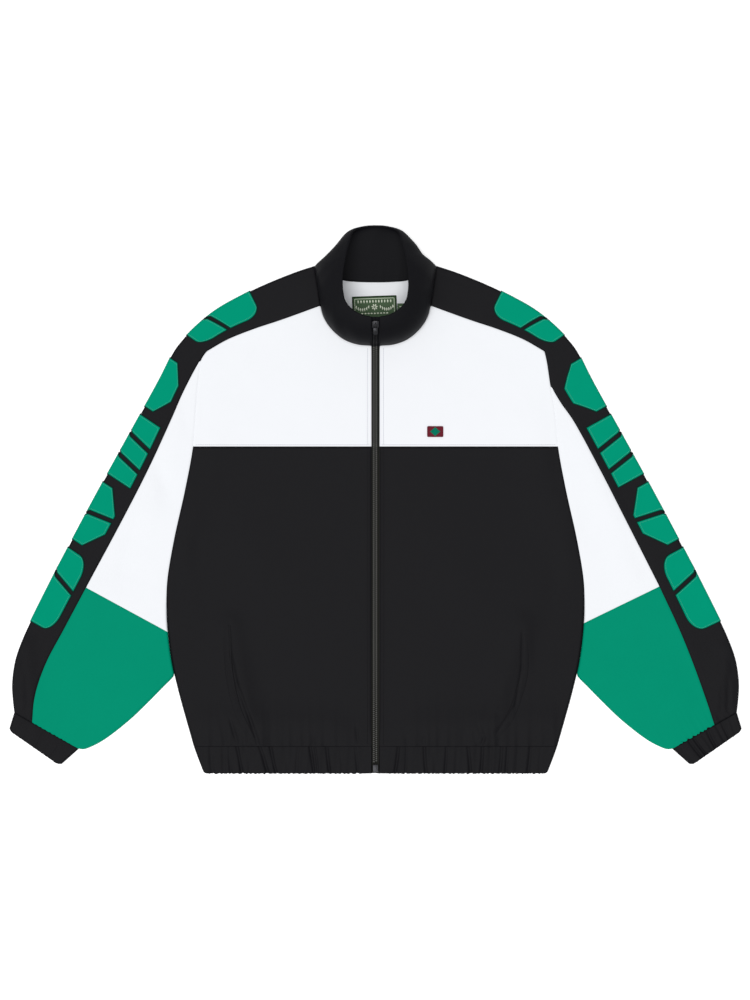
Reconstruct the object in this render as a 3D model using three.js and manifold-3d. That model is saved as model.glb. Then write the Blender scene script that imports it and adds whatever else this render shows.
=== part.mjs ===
// Zip-front track jacket, laid flat on its back. Millimetres, +Z up, the collar towards +Y, the
// wearer's left towards +X. The back panels lie on the surface at z = 0, the front panels lie on them,
// and the stand collar rises round the neck. Each piece that a maker would cut is one closed wall.
import * as THREE from "three";
import Module from "manifold-3d";
import { mergeVertices } from "three/addons/utils/BufferGeometryUtils.js";

const wasm = await Module();
wasm.setup();

// Cloth
const CLOTH = 1.6; // shell cloth with its mesh backing
const COLLAR_CLOTH = 2.8; // two layers and an interlining
const CASING_CLOTH = 2.2; // doubled cloth over elastic
const APPLIQUE_CLOTH = 1;
const SEAM = 0.3; // the gap left between two pieces that are sewn together
const LIE = 5.2; // height of the top cloth's outer face where it lies quietly
const FOLD_REACH = 3; // how far in from an edge the top cloth starts to turn down
const FOLD_FOOT = CLOTH + SEAM + 0.5; // where the top cloth ends over the back cloth

// Heights up the jacket
const HEM_BOTTOM = -369.5;
const HEM_SEAM = -333.5;
const CHEST_SEAM = 70.9;
const FRONT_NECK = 206.5;
const BACK_NECK = 293;
const PIT = -140;

// Zip
const ZIP_GAP = 6.1; // from the centre line to a front edge
const CHAIN_WIDTH = 5.6;
const TAPE_INNER = 1.2;
const TAPE_UNDER_FRONT = 13;
const TAPE_DEPTH = 2.1; // below the face of the front
const TAPE_CLOTH = 0.9;

// Points are [x, y] on one half of the jacket. A row is one point that the outline needs.
const BODY_EDGE = [
  [228, 199],
  [236, 158],
  [246.4, 70],
  [257, 12],
  [271.8, -55],
  [280.8, -109],
  [282, PIT],
  [280.4, -177],
  [275.4, -217],
  [266.4, -258],
  [245.4, HEM_SEAM],
];
const UNDERARM_EDGE = [
  [271.9, -235],
  [274, -240],
  [287, -254.2],
  [303.8, -271.4],
  [332, -298.4],
  [367, -325.4],
  [384, -334.4],
  [394, -337.8],
  [400.3, -337],
];
const SHOULDER_LINE = [
  [82.4, 314.4],
  [106.7, 306.5],
  [147.2, 290.3],
  [181.6, 274],
  [214.7, 255.2],
  [239, 236],
  [257, 218.5],
];
const SLEEVE_LINE_UPPER = [
  [257, 218.5],
  [270.7, 201.2],
  [291.6, 160.7],
  [336.2, 79.7],
  [380.7, -1.4],
  [429.3, -93.2],
];
const SLEEVE_LINE_LOWER = [
  [429.3, -93.2],
  [464.4, -163.4],
  [476.6, -190.4],
  [486, -217.4],
  [490.4, -249],
  [489.4, -271],
  [487.4, -288.2],
];
const NECK_CORNER = [74.3, 260.6];
const SHOULDER_CORNER = [228, 199];
const SHOULDER_SEAM = [NECK_CORNER, [126.9, 241.7], [166.7, 228.4], [200.5, 214.7], SHOULDER_CORNER];
// The two sleeves lie a little differently, so the seam between band and sleeve has a table for each.
const SLEEVE_SEAM = {
  right: {
    upper: [
      SHOULDER_CORNER,
      [236, 186],
      [256.5, 147],
      [274, 106.7],
      [307, 39],
      [341.6, -28.4],
      [390.5, -119.5],
    ],
    lower: [
      [390.5, -119.5],
      [421.2, -177],
      [442.8, -217.4],
      [454, -246],
      [460.4, -271.4],
      [463.3, -301.6],
    ],
    tip: 193, // the height where the sleeve's front narrows to nothing
    colourSeamAtBody: -179.5,
  },
  left: {
    upper: [
      SHOULDER_CORNER,
      [231.5, 184],
      [236.4, 154],
      [250, 130],
      [266, 106.7],
      [303, 39],
      [337.5, -28.4],
      [383, -118],
    ],
    lower: [
      [383, -118],
      [410.4, -177],
      [429.3, -224],
      [446.2, -271.4],
      [457.2, -304.9],
    ],
    tip: 147,
    colourSeamAtBody: -167.5,
  },
};
const CUFF = {
  seamOuter: [487.4, -288.2],
  seamInner: [400.3, -337],
  endOuter: [494.6, -311.8],
  endInner: [425.7, -359.6],
};

// Soft folds that the cloth lies in: a ridge from one point to another, with its half width and rise.
const FOLDS = [
  { from: [-395, -262], to: [-330, -262], width: 46, rise: 3.4 },
  { from: [395, -268], to: [330, -262], width: 46, rise: 3.4 },
  { from: [-474, -200], to: [-466, -268], width: 15, rise: 2.2 },
  { from: [476, -205], to: [468, -268], width: 15, rise: 2.6 },
  { from: [-230, -298], to: [-60, -304], width: 20, rise: 1.8 },
  { from: [230, -298], to: [60, -304], width: 20, rise: 1.8 },
  { from: [-196, -170], to: [-160, -322], width: 16, rise: 1.9 },
  { from: [197, -170], to: [150, -318], width: 17, rise: 2.1 },
  { from: [-262, -60], to: [-205, 120], width: 26, rise: 1.2 },
  { from: [262, -70], to: [208, 110], width: 26, rise: 1.2 },
  { from: [-330, -70], to: [-262, 110], width: 22, rise: 1.3 },
  { from: [345, -95], to: [268, 90], width: 22, rise: 1.3 },
];
const HEM_LIFT = { from: -285, rise: 1.1 }; // towards the thicker hem band
const NECK_LIFT = { y: 272, across: 78, along: 66, rise: 4.6, fade: 22 };

// How high the outer face of the top cloth lies over a point of the plan.
function loft(x, y) {
  let z = LIE + 0.35 * Math.sin(x / 41 + 0.6) * Math.cos(y / 53 - 0.4);
  z += HEM_LIFT.rise * THREE.MathUtils.smoothstep(-y, -HEM_LIFT.from, -HEM_SEAM);
  const ring = Math.hypot(x / NECK_LIFT.across, (y - NECK_LIFT.y) / NECK_LIFT.along);
  z += NECK_LIFT.rise * Math.exp((-Math.max(ring - 1, 0) * NECK_LIFT.along) / NECK_LIFT.fade);
  for (const { from, to, width, rise } of FOLDS) {
    const [dx, dy] = [to[0] - from[0], to[1] - from[1]];
    const share = ((x - from[0]) * dx + (y - from[1]) * dy) / (dx * dx + dy * dy);
    const t = Math.min(1, Math.max(0, share));
    const away = Math.hypot(x - from[0] - t * dx, y - from[1] - t * dy);
    z += rise * Math.exp(-((away / width) ** 2));
  }
  return z;
}

const lerp = (a, b, t) => a + (b - a) * t;
const mix = (p, q, t) => p.map((value, i) => lerp(value, q[i], t));
const range = (count) => Array.from({ length: count }, (_, i) => i);

// Evenly spaced points on a smooth line through the given ones.
function smooth(points, parts) {
  const line = new THREE.CatmullRomCurve3(
    points.map(([x, y]) => new THREE.Vector3(x, y, 0)),
    false,
    "centripetal",
  );
  return line.getSpacedPoints(parts).map(({ x, y }) => [x, y]);
}

const straight = (from, to, parts) => range(parts + 1).map((i) => mix(from, to, i / parts));

// The points of a line that runs down the jacket, at the given heights.
function atHeights(points, heights) {
  const line = smooth(points, 300);
  return heights.map((y) => {
    const i = Math.max(1, line.findIndex((p) => p[1] <= y + 1e-6));
    return mix(line[i - 1], line[i], (line[i - 1][1] - y) / (line[i - 1][1] - line[i][1]));
  });
}

const heights = (high, low, parts) => range(parts + 1).map((i) => lerp(high, low, i / parts));

// A closed outline moved inwards by a seam's share of the gap.
function shrunk(outline, gap = SEAM / 2) {
  const area = outline.reduce((sum, [x, y], i) => {
    const [nx, ny] = outline[(i + 1) % outline.length];
    return sum + x * ny - nx * y;
  }, 0);
  const side = Math.sign(area);
  return outline.map((p, i) => {
    const before = outline[(i + outline.length - 1) % outline.length];
    const after = outline[(i + 1) % outline.length];
    const inward = (a, b) => {
      const length = Math.hypot(b[0] - a[0], b[1] - a[1]);
      return [(-(b[1] - a[1]) / length) * side, ((b[0] - a[0]) / length) * side];
    };
    const [n, m] = [inward(before, p), inward(p, after)];
    const reach = gap / Math.max(0.35, 1 + n[0] * m[0] + n[1] * m[1]);
    return [p[0] + (n[0] + m[0]) * reach, p[1] + (n[1] + m[1]) * reach];
  });
}

const outlineOf = ({ foot, head, zipSide, outside }) => [
  ...foot.slice(0, -1),
  ...outside.slice(0, -1),
  ...[...head].reverse().slice(0, -1),
  ...[...zipSide].reverse().slice(0, -1),
];

// A grid of plan points inside four edges. Foot and head run outwards, zipSide and outside run upwards.
function patch({ foot, head, zipSide, outside }) {
  const [cols, rows] = [foot.length - 1, zipSide.length - 1];
  const loop = shrunk(outlineOf({ foot, head, zipSide, outside }));
  const wrap = (i) => loop[i % loop.length];
  const low = range(cols + 1).map((i) => wrap(i));
  const out = range(rows + 1).map((i) => wrap(cols + i));
  const high = range(cols + 1).map((i) => wrap(2 * cols + rows - i));
  const zip = range(rows + 1).map((i) => wrap(2 * cols + 2 * rows - i));
  return range(rows + 1).map((r) =>
    range(cols + 1).map((c) => {
      const [u, v] = [c / cols, r / rows];
      return [0, 1].map((k) => {
        const edges = lerp(low[c][k], high[c][k], v) + lerp(zip[r][k], out[r][k], u);
        const corners = lerp(lerp(low[0][k], low[cols][k], u), lerp(high[0][k], high[cols][k], u), v);
        return edges - corners;
      });
    }),
  );
}

const point = ([x, y], z) => new THREE.Vector3(x, y, z);

// Lifts a plan grid to the height of the top cloth. turnDown gives, for a row, how far its outer edge
// turns down to the back cloth, from 0 at a seam with more top cloth to 1 at a fold.
function topCloth(plan, side, turnDown = () => 0) {
  const steps = [90, 60, 30, 0].map(THREE.MathUtils.degToRad);
  return plan.map((row) => {
    const edge = row[row.length - 1];
    const inner = row[row.length - 2];
    const length = Math.hypot(inner[0] - edge[0], inner[1] - edge[1]);
    const inward = [(inner[0] - edge[0]) / length, (inner[1] - edge[1]) / length];
    const start = [edge[0] + inward[0] * FOLD_REACH, edge[1] + inward[1] * FOLD_REACH];
    const high = loft(side * start[0], start[1]);
    const drop = (high - FOLD_FOOT) * turnDown(edge[1]);
    const turned = steps.map((angle) => {
      const reach = FOLD_REACH * (1 - Math.cos(angle));
      const at = [edge[0] + inward[0] * reach, edge[1] + inward[1] * reach];
      return point(at, high - drop * (1 - Math.sin(angle)));
    });
    return [...row.slice(0, -1).map((p) => point(p, loft(side * p[0], p[1]))), ...turned];
  });
}

// Unit normals of a grid, on the side that faces up at its first point.
function normalsOf(grid, closed = false) {
  const [rows, cols] = [grid.length, grid[0].length];
  const step = (i, j) => grid[i][closed ? (j + cols) % cols : Math.min(cols - 1, Math.max(0, j))];
  const all = grid.map((row, i) =>
    row.map((_, j) => {
      const along = grid[Math.min(rows - 1, i + 1)][j].clone().sub(grid[Math.max(0, i - 1)][j]);
      const across = step(i, j + 1).clone().sub(step(i, j - 1));
      return across.cross(along).normalize();
    }),
  );
  const sign = Math.sign(all[0][0].z);
  return all.map((row) => row.map((n) => n.multiplyScalar(sign)));
}

// A closed body between two grids, the second under the first. A tube's rows close on themselves.
function enclosed(outer, inner, closed = false) {
  const [rows, cols] = [outer.length, outer[0].length];
  const vertices = [...outer.flat(), ...inner.flat()];
  const faces = [];
  const quad = (a, b, c, d) => faces.push([a, b, c], [a, c, d]);
  const top = (i, j) => i * cols + (j % cols);
  const under = (i, j) => rows * cols + top(i, j);
  const last = closed ? cols : cols - 1;
  for (let i = 0; i < rows - 1; i++) {
    for (let j = 0; j < last; j++) {
      quad(top(i, j), top(i, j + 1), top(i + 1, j + 1), top(i + 1, j));
      quad(under(i, j), under(i + 1, j), under(i + 1, j + 1), under(i, j + 1));
    }
    if (!closed) {
      quad(top(i, 0), top(i + 1, 0), under(i + 1, 0), under(i, 0));
      quad(top(i + 1, last), top(i, last), under(i, last), under(i + 1, last));
    }
  }
  for (let j = 0; j < last; j++) {
    quad(top(0, j + 1), top(0, j), under(0, j), under(0, j + 1));
    quad(top(rows - 1, j), top(rows - 1, j + 1), under(rows - 1, j + 1), under(rows - 1, j));
  }
  return outwards(vertices, faces);
}

// A geometry whose faces point out, whichever way they were listed.
function outwards(vertices, faces) {
  const volume = faces.reduce((sum, [a, b, c]) => {
    return sum + vertices[a].dot(vertices[b].clone().cross(vertices[c]));
  }, 0);
  const listed = volume > 0 ? faces : faces.map(([a, b, c]) => [a, c, b]);
  return new THREE.BufferGeometry().setFromPoints(vertices).setIndex(listed.flat());
}

const moved = (grid, normals, by) =>
  grid.map((row, i) => row.map((p, j) => p.clone().addScaledVector(normals[i][j], by)));

const wall = (grid, thickness, closed = false) =>
  enclosed(grid, moved(grid, normalsOf(grid, closed), -thickness), closed);

// A flat piece of the back cloth, cut to an outline.
function plate(outline, thickness, z = 0) {
  const shape = new THREE.Shape(shrunk(outline).map(([x, y]) => new THREE.Vector2(x, y)));
  return new THREE.ExtrudeGeometry(shape, { depth: thickness, bevelEnabled: false }).translate(0, 0, z);
}

// Turns a geometry of the left half into the same piece of the right half.
function mirrored(geometry) {
  const flipped = geometry.index ? geometry.toNonIndexed() : geometry;
  const p = flipped.getAttribute("position");
  const vertices = range(p.count).map((i) => new THREE.Vector3(-p.getX(i), p.getY(i), p.getZ(i)));
  const faces = range(p.count / 3).map((i) => [3 * i, 3 * i + 2, 3 * i + 1]);
  return outwards(vertices, faces);
}

const onSide = (geometry, side) => (side > 0 ? geometry : mirrored(geometry));

const clothFinish = (color, roughness = 0.75) =>
  new THREE.MeshStandardMaterial({ color, roughness, metalness: 0 });
const BLACK = clothFinish(0x202022);
const WHITE = clothFinish(0xf1f3fa);
const GREEN = clothFinish(0x009672);
const APPLIQUE = clothFinish(0x009a76, 0.85);
const TAPE = clothFinish(0x2a2b28, 0.9);
const COIL = clothFinish(0x3a3b3d, 0.45);
const LABEL_CLOTH = clothFinish(0x3d5a3c, 0.9);
const THREAD = clothFinish(0x7c1a2c, 0.8);
const METAL = new THREE.MeshStandardMaterial({ color: 0x2b2c30, roughness: 0.35, metalness: 0.8 });

const jacket = new THREE.Group();

function add(name, geometry, material, parent = jacket) {
  const mesh = new THREE.Mesh(geometry, material);
  mesh.name = name;
  parent.add(mesh);
  return mesh;
}

const SIDES = { right: -1, left: 1 };
const BODY_COLUMNS = 10;
const NECK_COLUMNS = 4; // of the front's columns, those that end on the collar seam
const LOWER_ROWS = 14;
const UPPER_ROWS = 5;
const SLEEVE_LOWER_ROWS = 9;
const SLEEVE_COLUMNS = 5;

// Collar: a section for each row, from the centre front round to the centre back of one half. Each
// section is an arc from its seam (x, y, z) towards its crown and on to its top edge. A seam with no
// height of its own stands on the top cloth.
const COLLAR_SECTIONS = [
  { seam: [ZIP_GAP, 207], crown: [ZIP_GAP, 208, 50], top: [ZIP_GAP, 242.5, 58] },
  { seam: [24, 208.6], crown: [24, 210, 50], top: [19, 245.5, 58] },
  { seam: [43, 215.6], crown: [44, 219, 49], top: [33, 254, 56] },
  { seam: [60, 230.2], crown: [63, 236, 47], top: [41.5, 265, 54] },
  { seam: [69.3, 245], crown: [74, 252, 45], top: [44.6, 279, 51.5] },
  { seam: [73.8, 263], crown: [80, 274, 42], top: [45, 295, 48] },
  { seam: [78.4, 292], crown: [84, 299, 36], top: [43.2, 312, 43.5] },
  { seam: [80.9, 314.4, 6.5], crown: [76.5, 322, 24], top: [40, 330, 38] },
  { seam: [62, 302.8, 1], crown: [68, 348, 14], top: [36, 346, 31] },
  { seam: [42, 295.8, 1], crown: [52, 366.5, 4], top: [31, 360.5, 23] },
  { seam: [20, 293.8, 1], crown: [28, 369, 0.3], top: [18, 367, 15] },
  { seam: [0, 293.4, 1], crown: [0, 364, 0.2], top: [0, 368.4, 12] },
];
const COLLAR_STATIONS = 24; // round one half
const COLLAR_STEPS = 6; // from seam to top edge

function collarGrid() {
  const mirroredRow = ([x, y, z]) => [-x, y, z];
  const lineOf = (key) => {
    const half = COLLAR_SECTIONS.map((row) => {
      const [x, y, z = loft(row[key][0], row[key][1]) + 2 * SEAM] = row[key];
      return [x, y, z];
    });
    const whole = [...half, ...half.slice(0, -1).reverse().map(mirroredRow)];
    return new THREE.CatmullRomCurve3(whole.map((p) => new THREE.Vector3(...p)), false, "centripetal");
  };
  const [seam, crown, top] = ["seam", "crown", "top"].map(lineOf);
  const count = 2 * COLLAR_STATIONS;
  return range(count + 1).map((i) => {
    const through = [seam, crown, top].map((line) => line.getPoint(i / count));
    return new THREE.QuadraticBezierCurve3(...through).getPoints(COLLAR_STEPS);
  });
}

const collarFace = collarGrid();
add("collar", wall(collarFace, COLLAR_CLOTH), BLACK);

// Back panels, flat on the surface.
const both = (half) => [...half, ...[...half].reverse().map(([x, y]) => [-x, y])];
const BAND_BACK_NECK = [58, 299.5]; // where the band's back edge starts on the back neck seam
const backNeck = [[14, BACK_NECK], [44, 295.5], BAND_BACK_NECK];
const bandBackEdge = smooth([BAND_BACK_NECK, [112, 258], [166.7, 232], [200.5, 215], SHOULDER_CORNER], 8);
const upperHeights = heights(SHOULDER_CORNER[1], CHEST_SEAM, UPPER_ROWS);
const lowerHeights = heights(CHEST_SEAM, HEM_SEAM, LOWER_ROWS);
const armholeUpper = atHeights(BODY_EDGE, upperHeights);
const bodySide = atHeights(BODY_EDGE, lowerHeights);

// The body's own edge points from one height to another, which the sleeve shares with it.
function bodyEdge(high, low) {
  const shared = [...upperHeights, ...lowerHeights.slice(1)].filter((y) => y < high - 4 && y > low + 4);
  return atHeights(BODY_EDGE, [high, ...shared, low]);
}
const backUpperHalf = [...backNeck, ...bandBackEdge.slice(1), ...armholeUpper.slice(1)];
add("back_upper", plate(both(backUpperHalf), CLOTH), WHITE);
add("back_lower", plate(both(bodySide), CLOTH), BLACK);

const zipLine = (from, to, parts) => straight([ZIP_GAP, from], [ZIP_GAP, to], parts);
const chestSeam = straight([ZIP_GAP, CHEST_SEAM], bodySide[0], BODY_COLUMNS);
const hemSeam = straight([ZIP_GAP, HEM_SEAM], bodySide[LOWER_ROWS], BODY_COLUMNS);
const COLLAR_SEAM = [[ZIP_GAP, FRONT_NECK], [24, 208], [43, 215], [60, 229.5], [69.8, 245], NECK_CORNER];
const collarSeam = smooth(COLLAR_SEAM, NECK_COLUMNS);
const shoulderSeam = smooth(SHOULDER_SEAM, BODY_COLUMNS - NECK_COLUMNS);
const easedBetween = (y, high, low) => THREE.MathUtils.smoothstep(-y, -high, -low);
const belowPit = (y) => easedBetween(y, PIT + 14, PIT - 26);

function bodyFront(name, side) {
  const lower = topCloth(
    patch({
      foot: hemSeam,
      head: chestSeam,
      zipSide: zipLine(HEM_SEAM, CHEST_SEAM, LOWER_ROWS),
      outside: [...bodySide].reverse(),
    }),
    side,
    belowPit,
  );
  const upper = topCloth(
    patch({
      foot: chestSeam,
      head: [...collarSeam, ...shoulderSeam.slice(1)],
      zipSide: zipLine(CHEST_SEAM, FRONT_NECK, UPPER_ROWS),
      outside: [...armholeUpper].reverse(),
    }),
    side,
  );
  add(`front_lower_${name}`, onSide(wall(lower, CLOTH), side), BLACK);
  add(`front_upper_${name}`, onSide(wall(upper, CLOTH), side), WHITE);
}

// Where the band meets the sleeve: along the armhole down to the sleeve's tip, then along the sleeve's
// own edge to the colour seam, then on to the cuff. The sleeve shares these points with the band.
function sleeveLines({ tip, upper, lower, colourSeamAtBody }) {
  const inner = bodyEdge(tip, colourSeamAtBody);
  const foot = upper[upper.length - 1];
  return {
    inner,
    aboveTip: bodyEdge(SHOULDER_CORNER[1], tip),
    seamUpper: atHeights(upper, heights(tip, foot[1], inner.length - 1)),
    seamLower: smooth(lower, SLEEVE_LOWER_ROWS),
  };
}

// Saddle band: each station has its front edge, its fold on the shoulder or sleeve line, and its back
// edge under the front one. Its section runs over the top, round the fold and back underneath.
const SHOULDER_STATIONS = BODY_COLUMNS - NECK_COLUMNS;
const TOP_STEPS = 3;
const ARC_STEPS = 5;
const UNDER_STEPS = 1;

function bandGrid(side, { aboveTip, seamUpper, seamLower }) {
  const armhole = [...aboveTip, ...seamUpper];
  const front = [...shoulderSeam, ...armhole.slice(1), ...seamLower.slice(1)];
  const fold = [
    ...smooth(SHOULDER_LINE, SHOULDER_STATIONS),
    ...smooth(SLEEVE_LINE_UPPER, armhole.length - 1).slice(1),
    ...smooth(SLEEVE_LINE_LOWER, SLEEVE_LOWER_ROWS).slice(1),
  ];
  const back = [...bandBackEdge, ...front.slice(SHOULDER_STATIONS + 1)];
  const distance = [0];
  fold.slice(1).forEach(([x, y], i) => {
    distance.push(distance[i] + Math.hypot(x - fold[i][0], y - fold[i][1]));
  });
  const grid = front.map((f, i) => {
    const s = fold[i];
    const b = back[i];
    const length = Math.hypot(s[0] - f[0], s[1] - f[1]);
    const out = [(s[0] - f[0]) / length, (s[1] - f[1]) / length];
    const from = [f[0] + (out[0] * SEAM) / 2, f[1] + (out[1] * SEAM) / 2];
    const radius = Math.min(loft(side * s[0], s[1]), 2 * (LIE + 1)) / 2;
    const crest = [s[0] - out[0] * radius, s[1] - out[1] * radius];
    const top = range(TOP_STEPS).map((k) => {
      const at = mix(from, crest, k / TOP_STEPS);
      return point(at, loft(side * at[0], at[1]));
    });
    const arc = range(ARC_STEPS + 1).map((k) => {
      const angle = Math.PI * (0.5 - k / ARC_STEPS);
      const reach = radius * Math.cos(angle);
      return point([crest[0] + out[0] * reach, crest[1] + out[1] * reach], radius * (1 + Math.sin(angle)));
    });
    const underLength = Math.hypot(b[0] - crest[0], b[1] - crest[1]);
    const end = mix(b, crest, SEAM / 2 / underLength);
    const under = range(UNDER_STEPS).map((k) => point(mix(crest, end, (k + 1) / UNDER_STEPS), 0));
    return [...top, ...arc, ...under];
  });
  return { grid, distance };
}

// Applique motifs: plain shapes that reach from inside the band's front edge over the fold. start and
// length are along the fold from the collar, cut is the share of the band's top that stays bare, and
// ends gives the shape of the two ends.
const MOTIFS = [
  { start: 94, length: 104, cut: 0.3, ends: "round" },
  { start: 236, length: 74, cut: 0.27, ends: "slant" },
  { start: 322, length: 92, cut: 0.22, ends: "square" },
  { start: 426, length: 88, cut: 0.24, ends: "slant" },
  { start: 526, length: 112, cut: 0.28, ends: "round" },
];
const MOTIF_FOOT = TOP_STEPS + 3; // the last point of the band's section that a motif covers
const END_SHARE = { round: 0.24, slant: 0.34, square: 0 };

// How much further from the front edge a motif stays at a share of its length.
function endInset(ends, share) {
  const reach = END_SHARE[ends];
  const toEnd = Math.min(share, 1 - share);
  if (!reach || toEnd >= reach) return 0;
  const t = 1 - toEnd / reach;
  return ends === "slant" ? 0.62 * t : 0.5 * (1 - Math.sqrt(1 - t * t));
}

// A point of a faceted grid at a place between its own points.
function within(grid, i, j) {
  const [i0, j0] = [Math.min(grid.length - 2, Math.floor(i)), Math.min(grid[0].length - 2, Math.floor(j))];
  const [u, v] = [i - i0, j - j0];
  const near = grid[i0][j0].clone().lerp(grid[i0][j0 + 1], v);
  return near.lerp(grid[i0 + 1][j0].clone().lerp(grid[i0 + 1][j0 + 1], v), u);
}

function motif({ grid, distance }, { start, length, cut, ends }) {
  const normals = normalsOf(grid);
  const reach = END_SHARE[ends] * length;
  const firstEnd = [0, reach / 3, (2 * reach) / 3, reach].map((part) => start + part);
  const lastEnd = firstEnd.map((place) => 2 * start + length - place);
  const stationsBetween = distance.filter((d) => d > start + reach + 3 && d < start + length - reach - 3);
  const places = [...new Set([...firstEnd, ...stationsBetween, ...lastEnd])].sort((a, b) => a - b);
  const station = (place) => {
    const i = Math.max(1, distance.findIndex((d) => d >= place));
    return i - 1 + (place - distance[i - 1]) / (distance[i] - distance[i - 1]);
  };
  const columns = (share) => {
    const first = TOP_STEPS * (cut + (1 - cut) * endInset(ends, share));
    const arc = range(MOTIF_FOOT - TOP_STEPS + 1).map((k) => TOP_STEPS + k);
    return [first, lerp(first, TOP_STEPS, 0.5), ...arc];
  };
  const rows = places.map((place) => {
    const i = station(place);
    return columns((place - start) / length).map((j) => ({ i, j }));
  });
  const faceAt = (by) => rows.map((row) => row.map(({ i, j }) => {
    const n = within(normals, i, j).normalize();
    return within(grid, i, j).addScaledVector(n, by);
  }));
  return enclosed(faceAt(SEAM + APPLIQUE_CLOTH), faceAt(SEAM));
}

function sleeve(name, side) {
  const seam = SLEEVE_SEAM[name];
  const lines = sleeveLines(seam);
  const { inner, seamUpper, seamLower } = lines;
  const beside = bodyEdge(seam.colourSeamAtBody, UNDERARM_EDGE[0][1]);
  const underarm = [...beside, ...smooth(UNDERARM_EDGE, SLEEVE_LOWER_ROWS - beside.length + 1).slice(1)];
  const edges = (outside, seamLine) => ({
    foot: straight(seamLine[seamLine.length - 1], outside[outside.length - 1], SLEEVE_COLUMNS),
    head: straight(seamLine[0], outside[0], SLEEVE_COLUMNS),
    zipSide: [...seamLine].reverse(),
    outside: [...outside].reverse(),
  });
  const pieces = [
    ["upper", edges(inner, seamUpper), WHITE],
    ["lower", edges(underarm, seamLower), GREEN],
  ];
  for (const [part, sides, finish] of pieces) {
    const grid = topCloth(patch(sides), side, belowPit);
    add(`sleeve_front_${part}_${name}`, onSide(wall(grid, CLOTH), side), finish);
    add(`sleeve_back_${part}_${name}`, onSide(plate(outlineOf(sides), CLOTH), side), finish);
  }
  const band = bandGrid(side, lines);
  add(`sleeve_band_${name}`, onSide(wall(band.grid, CLOTH), side), BLACK);
  MOTIFS.forEach((row, i) => add(`motif_${i + 1}_${name}`, onSide(motif(band, row), side), APPLIQUE));
}

// Cuff: a gathered casing laid flat. Its section is a flattened loop, and waves ride on its top layer.
const CUFF_LOOP = { width: 88, height: 30, top: 7, steps: 2, underParts: 8 };
const CUFF_WAVE = { count: 9, parts: 4, rise: 0.75, endReach: 0.36, phase: { right: 2.1, left: 0.7 } };
// Angles round a fold, from its top layer to the one under it.
const ROUND_FOLD = range(5).map((k) => Math.PI * (0.5 - (k + 1) / 6));

function cuffPlan(across, along) {
  const end = mix(CUFF.endInner, CUFF.endOuter, across);
  const seam = mix(CUFF.seamInner, CUFF.seamOuter, across);
  const length = Math.hypot(end[0] - seam[0], end[1] - seam[1]);
  return mix(seam, end, lerp(SEAM / length, 1, along));
}

function cuff(name, side) {
  const { width, height, top, steps, underParts } = CUFF_LOOP;
  const { count, parts, rise, endReach, phase } = CUFF_WAVE;
  const radius = top / 2;
  const inset = radius / width;
  const wave = (share) => {
    const [turn, start] = [share * count, phase[name]];
    return Math.sin(turn * 2 * Math.PI + start) + 0.45 * Math.sin(turn * 3.7 + 2 * start);
  };
  const over = range(count * parts + 1).map((k) => {
    const share = k / (count * parts);
    const across = lerp(inset, 1 - inset, share);
    const ripple = rise * wave(across) * Math.sin(Math.PI * share) ** 0.3;
    return { across, z: top, ripple, reach: endReach * wave(across) };
  });
  const fold = (centre, sign) =>
    ROUND_FOLD.map((angle) => ({
      across: centre + sign * inset * Math.cos(angle),
      z: radius * (1 + Math.sin(angle)),
    }));
  const under = range(underParts + 1).map((k) => ({ across: lerp(1 - inset, inset, k / underParts), z: 0 }));
  const loop = [...over, ...fold(1 - inset, 1), ...under, ...fold(inset, -1).reverse()];
  const grid = range(steps + 1).map((r) => {
    const along = r / steps;
    return loop.map(({ across, z, ripple = 0, reach = 0 }) =>
      point(cuffPlan(across, along * (1 + reach / height)), z + ripple * lerp(0.5, 1, along)),
    );
  });
  add(`cuff_${name}`, onSide(wall(grid, CASING_CLOTH, true), side), BLACK);
}

// Hem band: one gathered strip from the zip round the back to the zip again.
const HEM_TOP = 6.6;
const HEM_STRIP = { halfWidthAtSeam: 245.2, halfWidthAtEnd: 233, steps: 2, underParts: 12 };
const HEM_WAVE = { count: 14, parts: 4, rise: 0.95, endReach: 0.55 }; // count is for each half of the front
const HEM_QUIET = { atZip: [10, 46], atSide: 14 }; // where the waves fade

function hemBand() {
  const { halfWidthAtSeam, halfWidthAtEnd, steps, underParts } = HEM_STRIP;
  const { count, parts, rise, endReach } = HEM_WAVE;
  const radius = HEM_TOP / 2;
  const grid = range(steps + 1).map((r) => {
    const along = r / steps;
    const reach = lerp(halfWidthAtSeam, halfWidthAtEnd, along) - radius;
    const y = lerp(HEM_SEAM - SEAM, HEM_BOTTOM, along);
    const over = (sign) =>
      range(count * parts + 1).map((k) => {
        const share = k / (count * parts);
        const x = lerp(ZIP_GAP, reach, share);
        const atSide = THREE.MathUtils.smoothstep(x, reach - HEM_QUIET.atSide, reach);
        const calm = THREE.MathUtils.smoothstep(x, ...HEM_QUIET.atZip) * (1 - atSide);
        const turn = share * count * 2 * Math.PI + sign;
        const wave = calm * (Math.sin(turn) + 0.4 * Math.sin(turn * 0.37 + 2 * sign));
        return point([sign * x, y + endReach * wave * along], HEM_TOP + rise * wave * lerp(0.55, 1, along));
      });
    const fold = (sign) =>
      ROUND_FOLD.map((angle) =>
        point([sign * (reach + radius * Math.cos(angle)), y], radius * (1 + Math.sin(angle))),
      );
    const under = range(underParts + 1).map((k) => point([lerp(-reach, reach, k / underParts), y], 0));
    return [...over(-1), ...fold(-1), ...under, ...fold(1).reverse(), ...over(1).reverse()];
  });
  add("hem_band", wall(grid, CASING_CLOTH), BLACK);
}

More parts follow.
